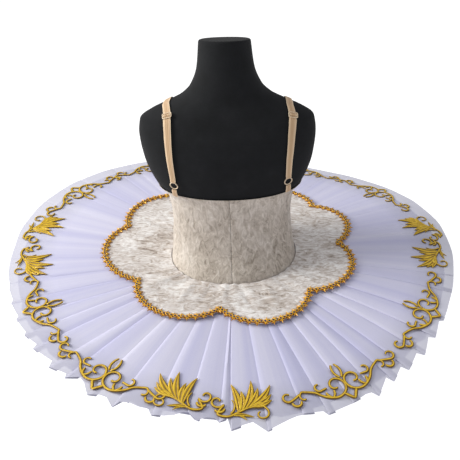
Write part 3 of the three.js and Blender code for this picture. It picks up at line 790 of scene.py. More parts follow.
# Fold lines of the top layer across the back: degrees, and the overlap of the pleat before it in mm.
BACK_FOLDS = np.array([
    [-66, 10], [-60, 13], [-54, 12], [-49, 16], [-42, 19], [-37, 14], [-30, 21], [-23.7, 15], [-15.5, 24],
    [-8.4, 13], [-1.6, 17], [0.9, 8], [8.1, 22], [16, 15], [21.1, 19], [27.2, 12], [33.1, 17], [38.3, 20],
    [43.1, 13], [49, 16], [55, 12], [61, 14],
])
# Corners of the top layer's rim across the back: degrees, and how far beyond the mean rim in mm.
RIM_CORNERS = np.array([
    [-150, 0], [-130, 3], [-112, 9], [-100, 8], [-90, 3], [-80, 1], [-72.5, -2], [-72, 1], [-66.6, -4],
    [-66, 1],
    [-60.5, -6], [-60, 0], [-54.5, -5], [-54, 1], [-49.6, -7], [-49, 4], [-42.5, -8], [-42, 6],
    [-37.5, -7], [-37, 3], [-34, -17], [-30, 9], [-26.5, -6], [-23.7, 9], [-22.4, -14], [-19.9, -6],
    [-15.9, -10], [-15.5, 2], [-11.7, -5], [-8.7, -22], [-6.2, -4], [-3.2, -16], [-1.5, -4], [0.2, -13],
    [0.9, 10], [5, -8], [8.1, 15], [12.6, -2], [15.3, -9], [20.4, -3], [21.1, 7], [27, 1], [32, -5],
    [33.1, 11],
    [37.6, -10], [38.3, 5], [42.6, -10], [43.1, 5], [48.4, -9], [49, 6], [54.4, -9], [55, 4], [60.5, -6],
    [61, 2], [68, -2], [74, 1], [85, 4], [100, 10], [115, 9], [135, 2], [150, 0],
])

# One knife pleat, from its fold edge round to the next: share of the way to the next fold, share of the
# overlap beyond that, and depth below the ridge as a share of the pleat's depth.
PLEAT_PROFILE = np.array([
    [0.00, 0.00, 0.30],
    [0.00, 0.10, 0.07],
    [0.00, 0.45, 0.00],
    [0.30, 0.20, 0.05],
    [0.60, 0.10, 0.20],
    [0.85, 0.00, 0.40],
    [1.00, 0.00, 0.60],
    [1.00, 0.60, 0.85],
    [1.00, 0.95, 1.00],
    [1.00, 1.00, 0.90],
    [1.00, 0.92, 0.72],
    [1.00, 0.40, 0.60],
    [1.00, 0.06, 0.48],
])

# Net layers from the top down: rim as a share of the skirt's, drop below the skirt's top at the waist
# and at the rim, pleats, depth of a pleat at the rim, mean overlap, and rows from waist to rim.
NET_LAYERS = np.array([
    [1.000, 0, 0, 0, 5.4, 0, 44],
    [0.965, 12, 7, 38, 4.5, 9, 30],
    [0.940, 26, 20, 44, 4.5, 12, 20],
    [0.900, 42, 31, 42, 4.0, 11, 16],
    [0.800, 60, 47, 36, 4.0, 11, 14],
    [0.660, 80, 65, 30, 4.0, 11, 12],
])


FRONT_PLEAT = 8.5               # degrees from fold to fold over the hips and front of the top layer
FRONT_OVERLAP = 9
SKIRT_INSET = 4.6               # from the body to the net's and the overlay's inner edge
FOLD_DRIFT = 1.1                # how far a fold leans off the radius at the waist, in degrees
                                # out a little too long at the rim


def fold_lines(pleats, overlap):
    """Fold angles in radians with each pleat's overlap. The top layer keeps its own across the back."""
    if pleats:
        widths = uneven(np.arange(pleats))
        starts = -math.pi + np.concatenate([[0], np.cumsum(widths)[:-1]]) * 2 * math.pi / widths.sum()
        return starts, overlap * uneven(np.arange(pleats) * 3 + 2)
    front = int(round((360 - (BACK_FOLDS[-1, 0] - BACK_FOLDS[0, 0])) / FRONT_PLEAT))
    widths = uneven(np.arange(front) * 1.7)
    steps = np.cumsum(widths)[:-1] / widths.sum()
    degrees = BACK_FOLDS[-1, 0] + steps * (360 - (BACK_FOLDS[-1, 0] - BACK_FOLDS[0, 0]))
    starts = np.radians(np.concatenate([BACK_FOLDS[:, 0], degrees]))
    return starts, np.concatenate([BACK_FOLDS[:, 1], FRONT_OVERLAP * uneven(np.arange(front - 1) * 2.3)])


def rim_steps(t, layer):
    """How far the cut edge stands beyond the mean rim: the top layer's corners, or small uneven teeth."""
    if layer == 0:
        degrees = np.degrees((t + math.pi) % (2 * math.pi) - math.pi)
        small = 0.9 * np.sin(23 * t + 2 * np.sin(3 * t))
        return np.interp(degrees, RIM_CORNERS[:, 0], RIM_CORNERS[:, 1], 0, 0) + small
    saw = (t * (9 + layer) + 1.3 * np.sin(2 * t + layer)) / math.pi % 1
    return 8 * pleat_share(t) * (0.45 - saw)


def net_part(layer):
    """A pleated layer: straight from the yoke to the rim at every angle, with fold-back knife pleats.

    Angle = fold + a (next fold - fold) + b overlap / radius, height = skirt top - drop - depth c, where
    a, b, c are the pleat profile's columns."""
    reach, inner_drop, rim_drop, pleats, depth, overlap, rows = NET_LAYERS[layer]
    folds, overlaps = fold_lines(int(pleats), overlap)
    count = len(folds)
    nexts = np.concatenate([folds[1:], folds[:1] + 2 * math.pi])
    width = nexts - folds
    a, b, c = PLEAT_PROFILE.T
    s = np.linspace(0, 1, int(rows))[None, None, :]
    radius = HIP_RADIUS + (SKIRT_RADIUS - HIP_RADIUS) * s
    lap = np.minimum((overlaps * pleat_share(folds))[:, None, None] / radius, 0.8 * width[:, None, None])
    lean = np.radians(FOLD_DRIFT) * np.sin(2.1 * np.arange(count + 1) + layer) * (1 - s)[0].T
    first, second = lean.T[:count][:, None, :], np.concatenate([lean.T[1:count], lean.T[:1]])[:, None, :]
    share = a[None, :, None]
    t = folds[:, None, None] + first * (1 - share) + second * share
    t = t + share * width[:, None, None] + b[None, :, None] * lap
    t = t.reshape(count * len(a), -1)
    s = s[0]
    inner = body_point(t, SKIRT_LEVEL + WAIST_RISE - inner_drop, SKIRT_INSET)
    rim = reach * rim_radius(t) + rim_steps(t, layer)
    x = inner[..., 0] + (rim * np.sin(t) - inner[..., 0]) * s
    y = inner[..., 1] + (-rim * np.cos(t) - inner[..., 1]) * s
    deep = depth * pleat_share(t) * (0.4 + 0.6 * s) * np.tile(c, count)[:, None]
    flutter = 0.9 * np.sin(11 * t + 2.2 * np.sin(4 * t) + layer) * s ** 2
    z = skirt_height(x, y) - (inner_drop + (rim_drop - inner_drop) * s) - deep - 0.9 - np.abs(flutter)
    return sheet_part(np.stack([x, y, z], -1))


# ---------------------------------------------------------------------------------------------
# The velvet overlay and its gimp
# ---------------------------------------------------------------------------------------------

# Creases that run out from the waist: degrees, middle radius, reach along, half width, lean, height.
OVERLAY_CREASES = np.array([
    [-150, 200, 40, 7, 8, -1.5], [-132, 190, 36, 8, -10, 1.8], [-118, 210, 50, 7, 4, -1.6],
    [-100, 195, 44, 9, 12, 1.6], [-88, 205, 52, 6, -4, -1.8], [-76, 215, 44, 7, 3, 1.4],
    [-66, 190, 36, 8, -12, -1.6], [-52, 195, 44, 9, -8, 2.6], [-43, 200, 48, 8, -14, -2.6],
    [-32, 185, 36, 9, 10, 1.8], [-18, 175, 30, 8, -6, -1.2], [-6, 170, 26, 10, 0, 1.2],
    [10, 175, 28, 8, 8, -1.3], [26, 185, 36, 9, -6, 1.5], [40, 180, 34, 8, 14, -1.4],
    [54, 190, 40, 8, 2, 1.4], [70, 200, 44, 9, -10, -1.6], [84, 205, 46, 8, 6, 1.8],
    [98, 200, 42, 7, -4, -1.5], [114, 205, 44, 9, 9, 1.6], [130, 200, 40, 8, -9, -1.6],
    [146, 200, 38, 7, 5, 1.4], [162, 195, 36, 8, -7, -1.3], [178, 200, 38, 9, 6, 1.5],
])
OVERLAY_LIFT = 1.9
VELVET_WALL = 1.7


def scalloped_edge(per_scallop):
    """Angle and radius round the edge: between cusps the radius swells by (sin πu)^0.72 to each crown."""
    degrees, cusp, crown = SCALLOPS.T
    following = np.roll(degrees, -1) + np.where(np.roll(degrees, -1) > degrees, 0, 360)
    u = np.arange(per_scallop)[None] / per_scallop
    t = np.radians(degrees[:, None] + (following - degrees)[:, None] * u)
    cusps = cusp[:, None] + (np.roll(cusp, -1) - cusp)[:, None] * u
    swell = (crown - (cusp + np.roll(cusp, -1)) / 2)[:, None]
    return t.ravel(), (cusps + swell * np.sin(math.pi * u) ** 0.72).ravel()


def overlay_lift(x, y):
    """Height of the velvet's top above the skirt's ridges, creases included."""
    t, r = np.arctan2(x, -y), np.hypot(x, y)
    return OVERLAY_LIFT + VELVET_WALL + np.maximum(1.4 * creased(t, r, OVERLAY_CREASES, 190), -1.6)


def overlay_part():
    """The overlay: straight lines from the bodice to the scalloped edge, thicker where the edge is turned."""
    t, r = scalloped_edge(48)
    inner = body_point(t, BODICE_BOTTOM + 2, SKIRT_INSET)
    share = np.linspace(0, 1, 56)[None, :]
    x = inner[:, :1] + (r * np.sin(t) - inner[:, 0])[:, None] * share
    y = inner[:, 1:2] + (-r * np.cos(t) - inner[:, 1])[:, None] * share
    from_edge = (1 - share) * (r - np.hypot(inner[:, 0], inner[:, 1]))[:, None]
    turned = 0.6 / (1 + np.exp(from_edge - 6))
    # The velvet ripples where it is eased into the waist seam, and stands up a little against the bodice.
    from_waist = share * (r - np.hypot(inner[:, 0], inner[:, 1]))[:, None]
    angle = np.arctan2(x, -y)
    eased = np.exp(-from_waist / 16) * (1.2 + 1.1 * np.sin(26 * angle + 2.5 * np.sin(7 * angle)))
    lift = overlay_lift(x, y) + turned + eased
    outer = np.stack([x, y, skirt_height(x, y) + lift], -1)
    under = np.stack([x, y, skirt_height(x, y) + lift - VELVET_WALL - turned], -1)
    return shell_part(outer, under, closed=True)


GIMP_PITCH = 8.0                # one loop of the braid
GIMP_INSET = 3.2                # the braid's middle line inside the velvet's edge
GIMP_HALF = 3.5                 # how far its two cords swing out
CORD_RADIUS = 1.4
LOOP_STEPS = 8                  # stations along one loop


def gimp_line():
    """The braid's middle line: points, unit way along and unit way out, evenly spaced, and the loops."""
    t, r = scalloped_edge(96)
    plan = np.stack([r * np.sin(t), -r * np.cos(t)], -1)
    along = np.roll(plan, -2, 0) - np.roll(plan, 2, 0)
    along /= np.linalg.norm(along, axis=1, keepdims=True)
    plan = plan - GIMP_INSET * np.stack([along[:, 1], -along[:, 0]], -1)
    ring = np.concatenate([plan, plan[:1]])
    length = np.concatenate([[0], np.cumsum(np.linalg.norm(np.diff(ring, axis=0), axis=1))])
    loops = 2 * int(round(length[-1] / GIMP_PITCH / 2))
    even = np.linspace(0, length[-1], loops * LOOP_STEPS, endpoint=False)
    plan = np.stack([np.interp(even, length, ring[:, k]) for k in (0, 1)], -1)
    along = np.roll(plan, -1, 0) - np.roll(plan, 1, 0)
    along /= np.linalg.norm(along, axis=1, keepdims=True)
    return plan, along, np.stack([along[:, 1], -along[:, 0]], -1), loops


def on_velvet(plan, height):
    """Plan points laid on the overlay's top, a height above it."""
    x, y = plan[..., 0], plan[..., 1]
    return np.stack([x, y, skirt_height(x, y) + overlay_lift(x, y) + 0.7 + height], -1)


def gimp_parts():
    """Two cords that swing ±3.5 sin(πs) from side to side, crossing over and under at every loop."""
    plan, _, out, _ = gimp_line()
    outward = np.concatenate([out, np.zeros((len(out), 1))], 1)
    phase = np.arange(len(plan)) * math.pi / LOOP_STEPS
    ring = np.linspace(0, 2 * math.pi, 7)[:-1]
    section = CORD_RADIUS * np.stack([np.cos(ring), np.sin(ring)], -1)
    parts = []
    for sign in (1, -1):
        swing = sign * GIMP_HALF * np.sin(phase)
        rise = CORD_RADIUS + 0.35 + sign * 0.45 * np.cos(phase)
        path = on_velvet(plan + out * swing[:, None], rise)
        # The cord's UV across puts the gold's painted highlight along its top and painted shade at its sides.
        parts.append(sweep_part(path, outward, section, closed=True))
    # The woven foundation under the cords.
    tape = np.array([[-3.8, 0.0], [3.8, 0.0], [3.8, 0.6], [0, 1.0], [-3.8, 0.6]])
    parts.append(sweep_part(on_velvet(plan, 0.1), outward, tape, closed=True))
    return parts


# One picot: three thread loops pressed to points, fanned outwards. Each spike's turn in degrees and length.
PICOT_SPIKES = [(-52, 7.2), (0, 8.8), (52, 7.2)]


def picot_part():
    """Every picot in one mesh: on both sides of each loop, three four-sided spikes with a raised root."""
    plan, along, out, loops = gimp_line()
    points = []
    for side in (1, -1):
        at = np.arange(0, loops, 2) * LOOP_STEPS + (LOOP_STEPS // 2 if side > 0 else LOOP_STEPS)
        way = out[at] * side
        root = plan[at] + way * (GIMP_HALF - 0.4)
        for k, (turn, reach) in enumerate(PICOT_SPIKES):
            c, s = math.cos(math.radians(turn)), math.sin(math.radians(turn))
            aim = way * c + along[at] * s
            cross = np.stack([-aim[:, 1], aim[:, 0]], -1)
            length = (reach * (0.85 + 0.3 * np.abs(np.sin(at * 1.7 + k + side))))[:, None]
            corners = np.stack([
                on_velvet(root + cross * 1.7, 0.6),
                on_velvet(root, 3.0),
                on_velvet(root - cross * 1.7, 0.6),
                on_velvet(root, 0.2),
                on_velvet(root + aim * length * 0.6 + cross * 1.25, 0.7),
                on_velvet(root + aim * length * 0.6, 2.5),
                on_velvet(root + aim * length * 0.6 - cross * 1.25, 0.7),
                on_velvet(root + aim * length * 0.6, 0.2),
                on_velvet(root + aim * length, 0.9),
            ], 1)
            points.append(corners)
    points = np.concatenate(points)
    base = np.arange(len(points))[:, None, None] * 9
    k = np.arange(4)
    walls = np.stack([k, (k + 1) % 4, (k + 1) % 4 + 4, k + 4], -1)
    tips = np.stack([k + 4, (k + 1) % 4 + 4, np.full(4, 8)], -1)
    lids = np.array([[3, 2, 1, 0]])
    quads = np.concatenate([(walls[None] + base).reshape(-1, 4), (lids[None] + base).reshape(-1, 4)])
    faces = [quads, (tips[None] + base).reshape(-1, 3)]
    flat = points.reshape(-1, 3)
    # Across values pick the gold's colour: 0 at each spike's raised ridge a painted highlight, 0.8 to 1 on
    # its low sides and underneath painted shade.
    across = np.tile([0.9, 0.0, 0.9, 1.0, 0.8, 0.1, 0.8, 1.0, 0.6], len(points))
    return flat, faces, np.stack([np.tile(np.arange(9) * 0.8, len(points)), across], -1)


def bead_part():
    """Every bead in one mesh: an oval dome, 5.8 x 4.2 mm, in each loop of the gimp."""
    plan, along, out, loops = gimp_line()
    at = np.arange(loops) * LOOP_STEPS + LOOP_STEPS // 2
    sides, rows = 8, 3
    f, g = np.meshgrid(np.linspace(0, 2 * math.pi, sides + 1)[:-1], (0.0, 0.55, 1.05), indexing="ij")
    a, b, h = (np.cos(f) * np.cos(g)).ravel(), (np.sin(f) * np.cos(g)).ravel(), np.sin(g).ravel()
    place = plan[at][:, None] + along[at][:, None] * (2.9 * a)[None, :, None]
    place = place + out[at][:, None] * (2.1 * b)[None, :, None]
    points = on_velvet(place, 1.6 + 2.4 * h[None])
    quads = grid_faces(sides, rows, closed=True)
    lid = (np.arange(sides) * rows + rows - 1)[None]
    under = (np.arange(sides) * rows)[None, ::-1]
    base = np.arange(loops)[:, None, None] * sides * rows
    lids = (np.concatenate([lid, under])[None] + base).reshape(-1, sides)
    faces = [(quads[None] + base).reshape(-1, 4), lids]
    return points.reshape(-1, 3), faces, None


# ---------------------------------------------------------------------------------------------
# Embroidered motifs, in millimetres along the rim and outwards from the patch radius
# ---------------------------------------------------------------------------------------------

STROKE_HEIGHT = 1.7
MOTIF_LIFT = 0.2


def curl(u, v, start_radius, end_radius, start_degrees, sweep_degrees):
    """A spiral about (u, v): its radius shrinks by an even ratio while its angle sweeps round."""
    share = np.linspace(0, 1, 2 + int(abs(sweep_degrees) / 30))
    angle = np.radians(start_degrees + sweep_degrees * share)
    radius = start_radius * (end_radius / start_radius) ** share
    return [(u + r * math.cos(f), v + r * math.sin(f)) for r, f in zip(radius, angle)]


# Half of a scroll, right of its middle, drawn with spirals and plain arcs: a large volute that an
# S-curve joins to a small eye, a tail hook, and six short strokes. Each has its two end widths.
SCROLL_STROKES = [
    (curl(82, 5, 5, 10, 120, -210) + [(62, 2), (50, 13)] + curl(19, 0, 28, 6, 48, 430), 4.2, 4.6),
    ([(88, -2), (98, 4)] + curl(112, 0, 10, 6, 110, -250), 4.8, 3.8),
    (curl(98, 13, 8, 8, 190, -200), 4.4, 4.4),
    (curl(44, 8, 18, 18, 180, -55), 4.2, 4.0),
    (curl(24, 8, 18, 18, 0, 50), 4.0, 4.2),
    ([(36, 0)] + curl(50, -6, 9, 6, 120, -230), 4.2, 3.8),
    ([(12, 22), (0, 38)], 5.2, 4.6),
    (curl(-18, -27, 26, 26, 40, -75), 4.6, 4.0),
]

# Strokes of a plume, drawn the same way; its partner mirrors them. The stem runs from the curl beside
# the partner, over the fan's root, to the outer curl.
PLUME_STROKES = [
    (
        curl(-51, -3, 5, 14, 0, -330) + [(-48, 22), (-30, 26), (-12, 17), (6, 9)]
        + curl(25, 23, 15, 5, -80, 330), 4.4, 3.4,
    ),
    (curl(-45, 10, 9, 8, 160, -160), 4.6, 4.2),
    (curl(-42, 6, 22, 22, 45, -85), 4.6, 1.8),
]


LEAF_LENGTHS = (60, 42, 64, 50, 64, 46, 36)
FAN_START = -104                # direction of the first leaf, in degrees
FAN_STEP = 15


def fan_of_leaves():
    """Seven leaves, each turned a step further round the fan, and two small ones across the stem.

    Each row is root, bend and tip, then the width."""
    rows = []
    for k, length in enumerate(LEAF_LENGTHS):
        angle = math.radians(FAN_START + FAN_STEP * k)
        root_u, root_v = -13 + 4 * k, 18 - 2 * k
        tip_u, tip_v = root_u + length * math.cos(angle), root_v + length * math.sin(angle)
        bulge = 0.16 * length
        bend_u = (root_u + tip_u) / 2 - bulge * math.sin(angle)
        bend_v = (root_v + tip_v) / 2 + bulge * math.cos(angle)
        rows.append([root_u, root_v, bend_u, bend_v, tip_u, tip_v, 7 + 0.09 * length])
    rows.append([-24, 24, -8, 20, 12, 28, 6])
    rows.append([-14, 24, -6, 25, 0, 34, 3.4])
    return rows


PLUME_LEAVES = fan_of_leaves()


def stroke_part(knots, start, end):
    """A satin-stitched stroke: a half-round section along a smooth line, narrowing to round ends."""
    path = smooth_path(knots)
    along = np.linspace(0, 1, len(path))
    length = np.linalg.norm(np.diff(path, axis=0), axis=1).sum()
    width = start + (end - start) * along
    swell = 1 + 0.22 * np.sin(math.pi * along)
    near_end = np.minimum(along, 1 - along) * length / (0.5 * np.minimum(start, end))
    round_end = np.sqrt(np.clip(1 - (1 - np.clip(near_end, 0, 1)) ** 2, 0.06, 1))
    f = np.linspace(0, 2 * math.pi, 13)[:-1]
    section = np.stack([np.cos(f) / 2, np.maximum(np.sin(f), -0.12)], -1)
    flat = np.concatenate([path, np.zeros((len(path), 1))], 1)
    tangent = np.gradient(flat, axis=0)
    side = np.cross(tangent, [0, 0, 1.0])
    size = np.stack([1.12 * width * swell * round_end, STROKE_HEIGHT * round_end], -1)
    # The section's across coordinate becomes the UV that puts the thread's painted highlight along the crown
    # and painted shade at both edges.
    return sweep_part(flat, side, section, size=size)


def leaf_part(root_u, root_v, bend_u, bend_v, tip_u, tip_v, width):
    """A leaf in two rows of satin stitch with a vein between: its half width goes as (sin πs^0.78)^0.85
    along a bent line."""
    steps, ribs = 30, 11
    s = np.linspace(0, 1, steps)[:, None]
    root, bend, tip = np.array([root_u, root_v]), np.array([bend_u, bend_v]), np.array([tip_u, tip_v])
    line = root * (1 - s) ** 2 + bend * 2 * s * (1 - s) + tip * s ** 2
    tangent = np.gradient(line, axis=0)
    tangent /= np.linalg.norm(tangent, axis=1, keepdims=True)
    side = np.stack([tangent[:, 1], -tangent[:, 0]], -1)
    half = 1.15 * width / 2 * (np.sin(math.pi * s ** 0.78) ** 0.85 * 0.94 + 0.06)
    k = np.linspace(-1, 1, ribs)[None, :]
    lobes = np.sqrt(np.clip(1 - k ** 2, 0, 1)) * (0.45 + 0.55 * np.abs(np.sin(math.pi * k)) ** 0.6)
    top = np.concatenate([
        line[:, None] + side[:, None] * (half * k)[..., None],
        (0.35 + 1.8 * lobes * np.clip(half / 3, 0.35, 1))[..., None],
    ], -1)
    under = top.copy()
    under[..., 2] = -0.1
    points, faces, _ = shell_part(top, under, closed=False)
    count = len(points) // steps
    along = np.repeat(s[:, 0] * np.linalg.norm(tip - root), count)
    # Across values pick the gold's colour: near 0 in the middle of each satin half a painted highlight, near
    # 1 at the vein, edges and sides painted shade.
    rows_across = (k[0] * 2 + np.sign(-k[0] - 1e-6)) * 0.9
    across = np.tile(np.concatenate([rows_across, [1.0], np.ones(ribs), [1.0]]), steps)
    return points, faces, np.stack([along, across], -1)


def lay_on_skirt(part, degrees, mirror, out, turn):
    """Lays a flat part on the pleat ridges: u goes round the patch radius, v outwards and h up.

    The motif is turned about its middle and moved outwards first, as it was sewn on."""
    points, faces, uv = part
    c, s = math.cos(math.radians(turn)), math.sin(math.radians(turn))
    u, v = mirror * points[:, 0] * c - points[:, 1] * s, mirror * points[:, 0] * s + points[:, 1] * c
    t = math.radians(degrees) + u / PATCH_RADIUS
    r = PATCH_RADIUS + v + out
    x, y = r * np.sin(t), -r * np.cos(t)
    return np.stack([x, y, skirt_height(x, y) + MOTIF_LIFT + points[:, 2]], -1), faces, uv


def plume_parts(mirror, degrees, out, turn):
    """One plume: stems and hooks, then the fan of leaves."""
    flat = [stroke_part(*stroke) for stroke in PLUME_STROKES]
    flat += [leaf_part(*leaf) for leaf in PLUME_LEAVES]
    return [lay_on_skirt(part, degrees, mirror, out, turn) for part in flat]


def scroll_parts(degrees, out, turn):
    """One scroll: every stroke and its mirror image."""
    return [
        lay_on_skirt(stroke_part(*stroke), degrees, mirror, out, turn)
        for stroke in SCROLL_STROKES for mirror in (1, -1)
    ]


# Where each motif is sewn: degrees, millimetres out from the patch radius, and its turn in degrees.
PLUMES = [
    [(-184.8, 0, 0), (-168.2, 0, 0)],
    [(-97.6, 12, 4), (-80.9, 3, 0)],
    [(-11.6, -9, 0), (4.2, 0, 0)],
    [(84.9, 4, 0), (99.6, 12, -14)],
]
SCROLLS = [
    (-149, 2, 0), (-119, 6, 5), (-61, -8, 0), (-29.8, 0, 0),
    (28.2, 0, 1), (61.5, 0, 0), (125, 6, -2), (156, 2, 0),
]


# ---------------------------------------------------------------------------------------------
# Shoulder straps, sliders and rings
# ---------------------------------------------------------------------------------------------

STRAP_PIVOT = (-4, 500)
# The strap's route: degrees from straight up over the shoulder towards the front, and how far it is
# from the middle.
STRAP_ROUTE = np.array([
    [-150, 113], [-137, 114], [-90, 117], [-29, 118.5], [0, 119], [40, 116], [75, 106], [118, 96],
])
STRAP_SHIFT = 5
# The straps aren't quite a pair: how much further out each lies, by turn.
STRAP_LEANS = {
    -1: ([-60, -29, 0, 60, 118], [0, 0, 6, 4, 0]),
    1: ([-100, -60, -29, -5, 118], [0, 3, 6, 1, 0]),
}
STRAP_WIDTH = 15
SLIDER_TURN = -29
SLIDER_OUT = 4.9                # the slider's middle above the body
RING_TURN = -134.5
RING_RADIUS = 8.2
RING_WIRE = 1.1
RING_OUT = 4.2

# Runs of elastic: turn in degrees and height above the body. The first goes over the shoulder, up
# through the slider's slot, over its bar and down again.
OVER_SHOULDER = [
    (114, 2.2), (60, 2.2), (0, 2.2), (-20, 2.2), (-24.6, 2.3), (-26.8, 3.6), (-28.2, 6.3), (-29.0, 6.7),
    (-29.8, 6.3), (-31.2, 3.9), (-33.4, 3.0),
]
LOWER_TOP = [(-33.8, 3.9), (-60, 3.9), (-100, 3.9), (-124, 4.2), (-128.2, 5.6), (-129.6, 5.2)]
LOWER_UNDER = [(-34.2, 2.4), (-60, 2.4), (-100, 2.4), (-126, 2.4), (-129.4, 2.6)]
BACK_TAB = [(-139.4, 5.4), (-141.0, 6.3), (-144, 6.4), (-147.6, 6.3)]


def strap_station(turn, side_sign, out):
    """Where rays from inside the chest leave the body, with unit ways along, out and across the strap."""
    turn = np.asarray(turn, float)

    def surface(degrees):
        angle = np.radians(degrees)
        x = np.interp(degrees, *STRAP_ROUTE.T) + side_sign * STRAP_SHIFT
        x = x + np.interp(degrees, *STRAP_LEANS[side_sign])

        def along_ray(reach):
            y, z = STRAP_PIVOT[0] + reach * np.sin(angle), STRAP_PIVOT[1] + reach * np.cos(angle)
            return np.stack([x, y, z], -1)

        near, far = np.zeros(len(degrees)), np.full(len(degrees), 260.0)
        for _ in range(36):
            middle = (near + far) / 2
            inside = body_depth(along_ray(middle)) < 1
            near, far = np.where(inside, middle, near), np.where(inside, far, middle)
        return along_ray(near)

    point = surface(turn)
    along = surface(turn + 2) - surface(turn - 2)
    along /= np.linalg.norm(along, axis=1, keepdims=True)
    steps = np.eye(3) * 0.5
    normal = np.stack([body_depth(point + h) - body_depth(point - h) for h in steps], -1)
    normal /= np.linalg.norm(normal, axis=1, keepdims=True)
    normal -= along * (normal * along).sum(1, keepdims=True)
    normal /= np.linalg.norm(normal, axis=1, keepdims=True)
    across = np.cross(along, normal)
    point = point + normal * np.asarray(out, float).reshape(-1, 1)
    flip = np.array([side_sign, 1, 1])
    return point * flip, along * flip, normal * flip, across * flip


def strap_part(route, side_sign, width_ends=(STRAP_WIDTH, STRAP_WIDTH), offset=0.0, wall=1.1):
    """A ribbed band along knots of (turn, height above the body): a flat section with four ribs across."""
    knots = smooth_path(np.asarray(route, float) * [2.0, 1.0], step=1.5) / [2.0, 1.0]
    point, _, _, across = strap_station(knots[:, 0], side_sign, knots[:, 1])
    point = point + across * offset
    k = np.linspace(-1, 1, 17)
    top = wall / 2 * (1 - k ** 8) + 0.1 * np.cos(4 * math.pi * k) * (np.abs(k) < 0.95)
    section = np.concatenate([np.stack([k, top], -1), np.stack([k[::-1], -top[::-1]], -1)[1:-1]])
    ends = np.linspace(width_ends[0], width_ends[1], len(knots)) / 2
    size = np.stack([ends, np.ones(len(knots))], -1)
    return sweep_part(point, across, section, size=size)


def rounded_bar(width, height):
    """An oval section, the moulded bar's."""
    f = np.linspace(0, 2 * math.pi, 13)[:-1]
    return np.stack([np.cos(f) * width / 2, np.sin(f) * height / 2], -1)


def placed(part, turn, side_sign, out):
    """Sets a fitting modelled flat on the strap's station: x across, y along, z out."""
    points, faces, uv = part
    point, along, normal, across = (v[0] for v in strap_station([turn], side_sign, [out]))
    return point + points @ np.stack([across, along, normal]), faces, uv


def slider_parts():
    """A two-slot slider 20 x 13 mm: a rounded frame of 2 mm bar and a bar across its middle."""
    f = np.linspace(0, 2 * math.pi, 65)[:-1]
    loop = np.stack([
        9.0 * np.sign(np.cos(f)) * np.abs(np.cos(f)) ** 0.36,
        5.5 * np.sign(np.sin(f)) * np.abs(np.sin(f)) ** 0.36,
        np.zeros(64),
    ], -1)
    side = np.stack([loop[:, 0] / 9, loop[:, 1] / 5.5, np.zeros(64)], -1)
    x = np.linspace(-8.4, 8.4, 9)
    bar = np.stack([x, np.zeros(9), np.zeros(9)], -1)
    return [
        sweep_part(loop, side, rounded_bar(2.0, 1.9), closed=True),
        sweep_part(bar, np.tile([0, 1.0, 0], (9, 1)), rounded_bar(1.9, 1.5)),
    ]


def ring_part():
    """A moulded ring: a round wire of 1.1 mm radius along a circle of 8.2 mm."""
    f = np.linspace(0, 2 * math.pi, 49)[:-1]
    loop = RING_RADIUS * np.stack([np.cos(f), np.sin(f), np.zeros(48)], -1)
    return sweep_part(loop, loop / RING_RADIUS, rounded_bar(2 * RING_WIRE, 2 * RING_WIRE), closed=True)


# ---------------------------------------------------------------------------------------------
# Building the scene
# ---------------------------------------------------------------------------------------------

add_camera()
add_studio()

floor_size = 8.0
bpy.ops.mesh.primitive_plane_add(size=floor_size, location=(0, 0, -0.0003))
floor = bpy.context.object
floor.name = "studio_floor"
floor.data.materials.append(floor_paper())

jersey = black_jersey()
bodice_velvet = crushed_velvet(
    "crushed_velvet_beige", ["#8F8579", "#B5AA9D", "#CBC1B5", "#E6DED4"], 14, (1.0, 1.0, 0.5), 0.5,
    (0.49, 0.6, 0.72, 0.9),
)
# Of the overlay's colours, #F6F4F2 is a painted highlight and #82776D the painted shade in the crush lines.
overlay_velvet = crushed_velvet(
    "crushed_velvet_ivory", ["#82776D", "#BDB1A7", "#D6CFCA", "#F6F4F2"], 13, (0.45, 1.0, 1.0), 1.0,
    (0.49, 0.59, 0.68, 0.84),
)
top_net = tulle("nylon_tulle_white_top", 0.86, "#E4E3F6", "#C9C9EA")
# The second and under layers are the same white net painted darker and greyer: painted shade for net lying
# under the layers above.
second_net = tulle("nylon_tulle_white_second", 0.9, "#CFCFEA", "#BFC0E2")
under_net = tulle("nylon_tulle_white_under", 1.0, "#D5D5E6", "#C9C9DE")
# In each gold, the first colour is painted shade at the edges and the last a painted highlight on top.
gold_thread = satin_stitch("rayon_embroidery_gold", "#664A08", "#CEA012", "#F8D834", 1.3)
gold_gimp = satin_stitch("metallic_gimp_gold", "#9A560A", "#EBA81A", "#FFDF4A", 1.1)
elastic = ribbed_elastic()
nylon = moulded_plastic()

add_piece("stand_form", [form_part()], jersey, ["dress_form"], sharp=60)

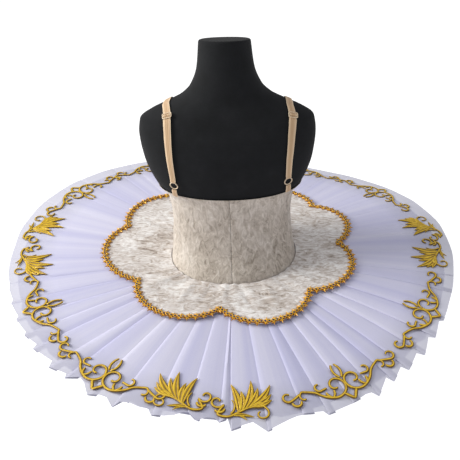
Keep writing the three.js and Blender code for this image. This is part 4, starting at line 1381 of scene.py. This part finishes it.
quarter = math.pi / 2
for name, start, end, columns, node in (
    ("back_panel_left", -quarter, 0, 110, "bodice_back_left"),
    ("back_panel_right", 0, quarter, 110, "bodice_back_right"),
    ("front_panel", quarter, 3 * quarter, 200, "bodice_front"),
):
    panel = add_piece(name, [bodice_part(start, end, columns)], bodice_velvet, [node])

yoke = add_piece("hip_band", [yoke_part()], yoke_cotton(), ["hip_yoke"])

for pair, places in enumerate(PLUMES):
    for mirror, letter, place in zip((-1, 1), "ab", places):
        parts = plume_parts(mirror, *place)
        name = f"plume_{pair + 1}_{letter}"
        add_piece(f"embroidered_{name}", parts, gold_thread, [name])
for number, place in enumerate(SCROLLS):
    name = f"scroll_{number + 1}"
    parts = scroll_parts(*place)
    add_piece(f"embroidered_{name}", parts, gold_thread, [name])

for layer in range(len(NET_LAYERS)):
    part = net_part(layer)
    net = add_piece(
        f"tulle_layer_{layer + 1}", [part], (top_net, second_net, under_net)[min(layer, 2)],
        [f"net_layer_{layer + 1}"], sharp=40, is_open=True,
    )

gimp = add_piece(
    "gimp_braid", gimp_parts() + [picot_part()], gold_gimp, ["gold_braid"], sharp=70
)
beads = add_piece("gimp_beads", [bead_part()], glass_bead(), sharp=70)
overlay = add_piece(
    "scalloped_overlay", [overlay_part()], overlay_velvet, ["velvet_overlay"]
)

for side_name, side_sign in (("left", -1), ("right", 1)):
    upper = add_piece(
        f"shoulder_strap_{side_name}", [strap_part(OVER_SHOULDER, side_sign)], elastic,
        [f"strap_{side_name}"],
    )
    loop = add_piece(
        f"lower_strap_{side_name}",
        [
            strap_part(LOWER_TOP, side_sign, (15, 12)),
            strap_part(LOWER_UNDER, side_sign, (15, 12), offset=1.4),
        ],
        elastic, [f"strap_loop_{side_name}"],
    )
    tab = add_piece(
        f"back_tab_{side_name}", [strap_part(BACK_TAB, side_sign, (11, 12.5), wall=1.5)], elastic,
        [f"strap_tab_{side_name}"],
    )
    add_piece(
        f"slider_{side_name}", [placed(p, SLIDER_TURN, side_sign, SLIDER_OUT) for p in slider_parts()], nylon,
        [f"strap_slider_{side_name}"],
    )
    add_piece(
        f"ring_{side_name}", [placed(ring_part(), RING_TURN, side_sign, RING_OUT)], nylon,
        [f"strap_ring_{side_name}"],
    )
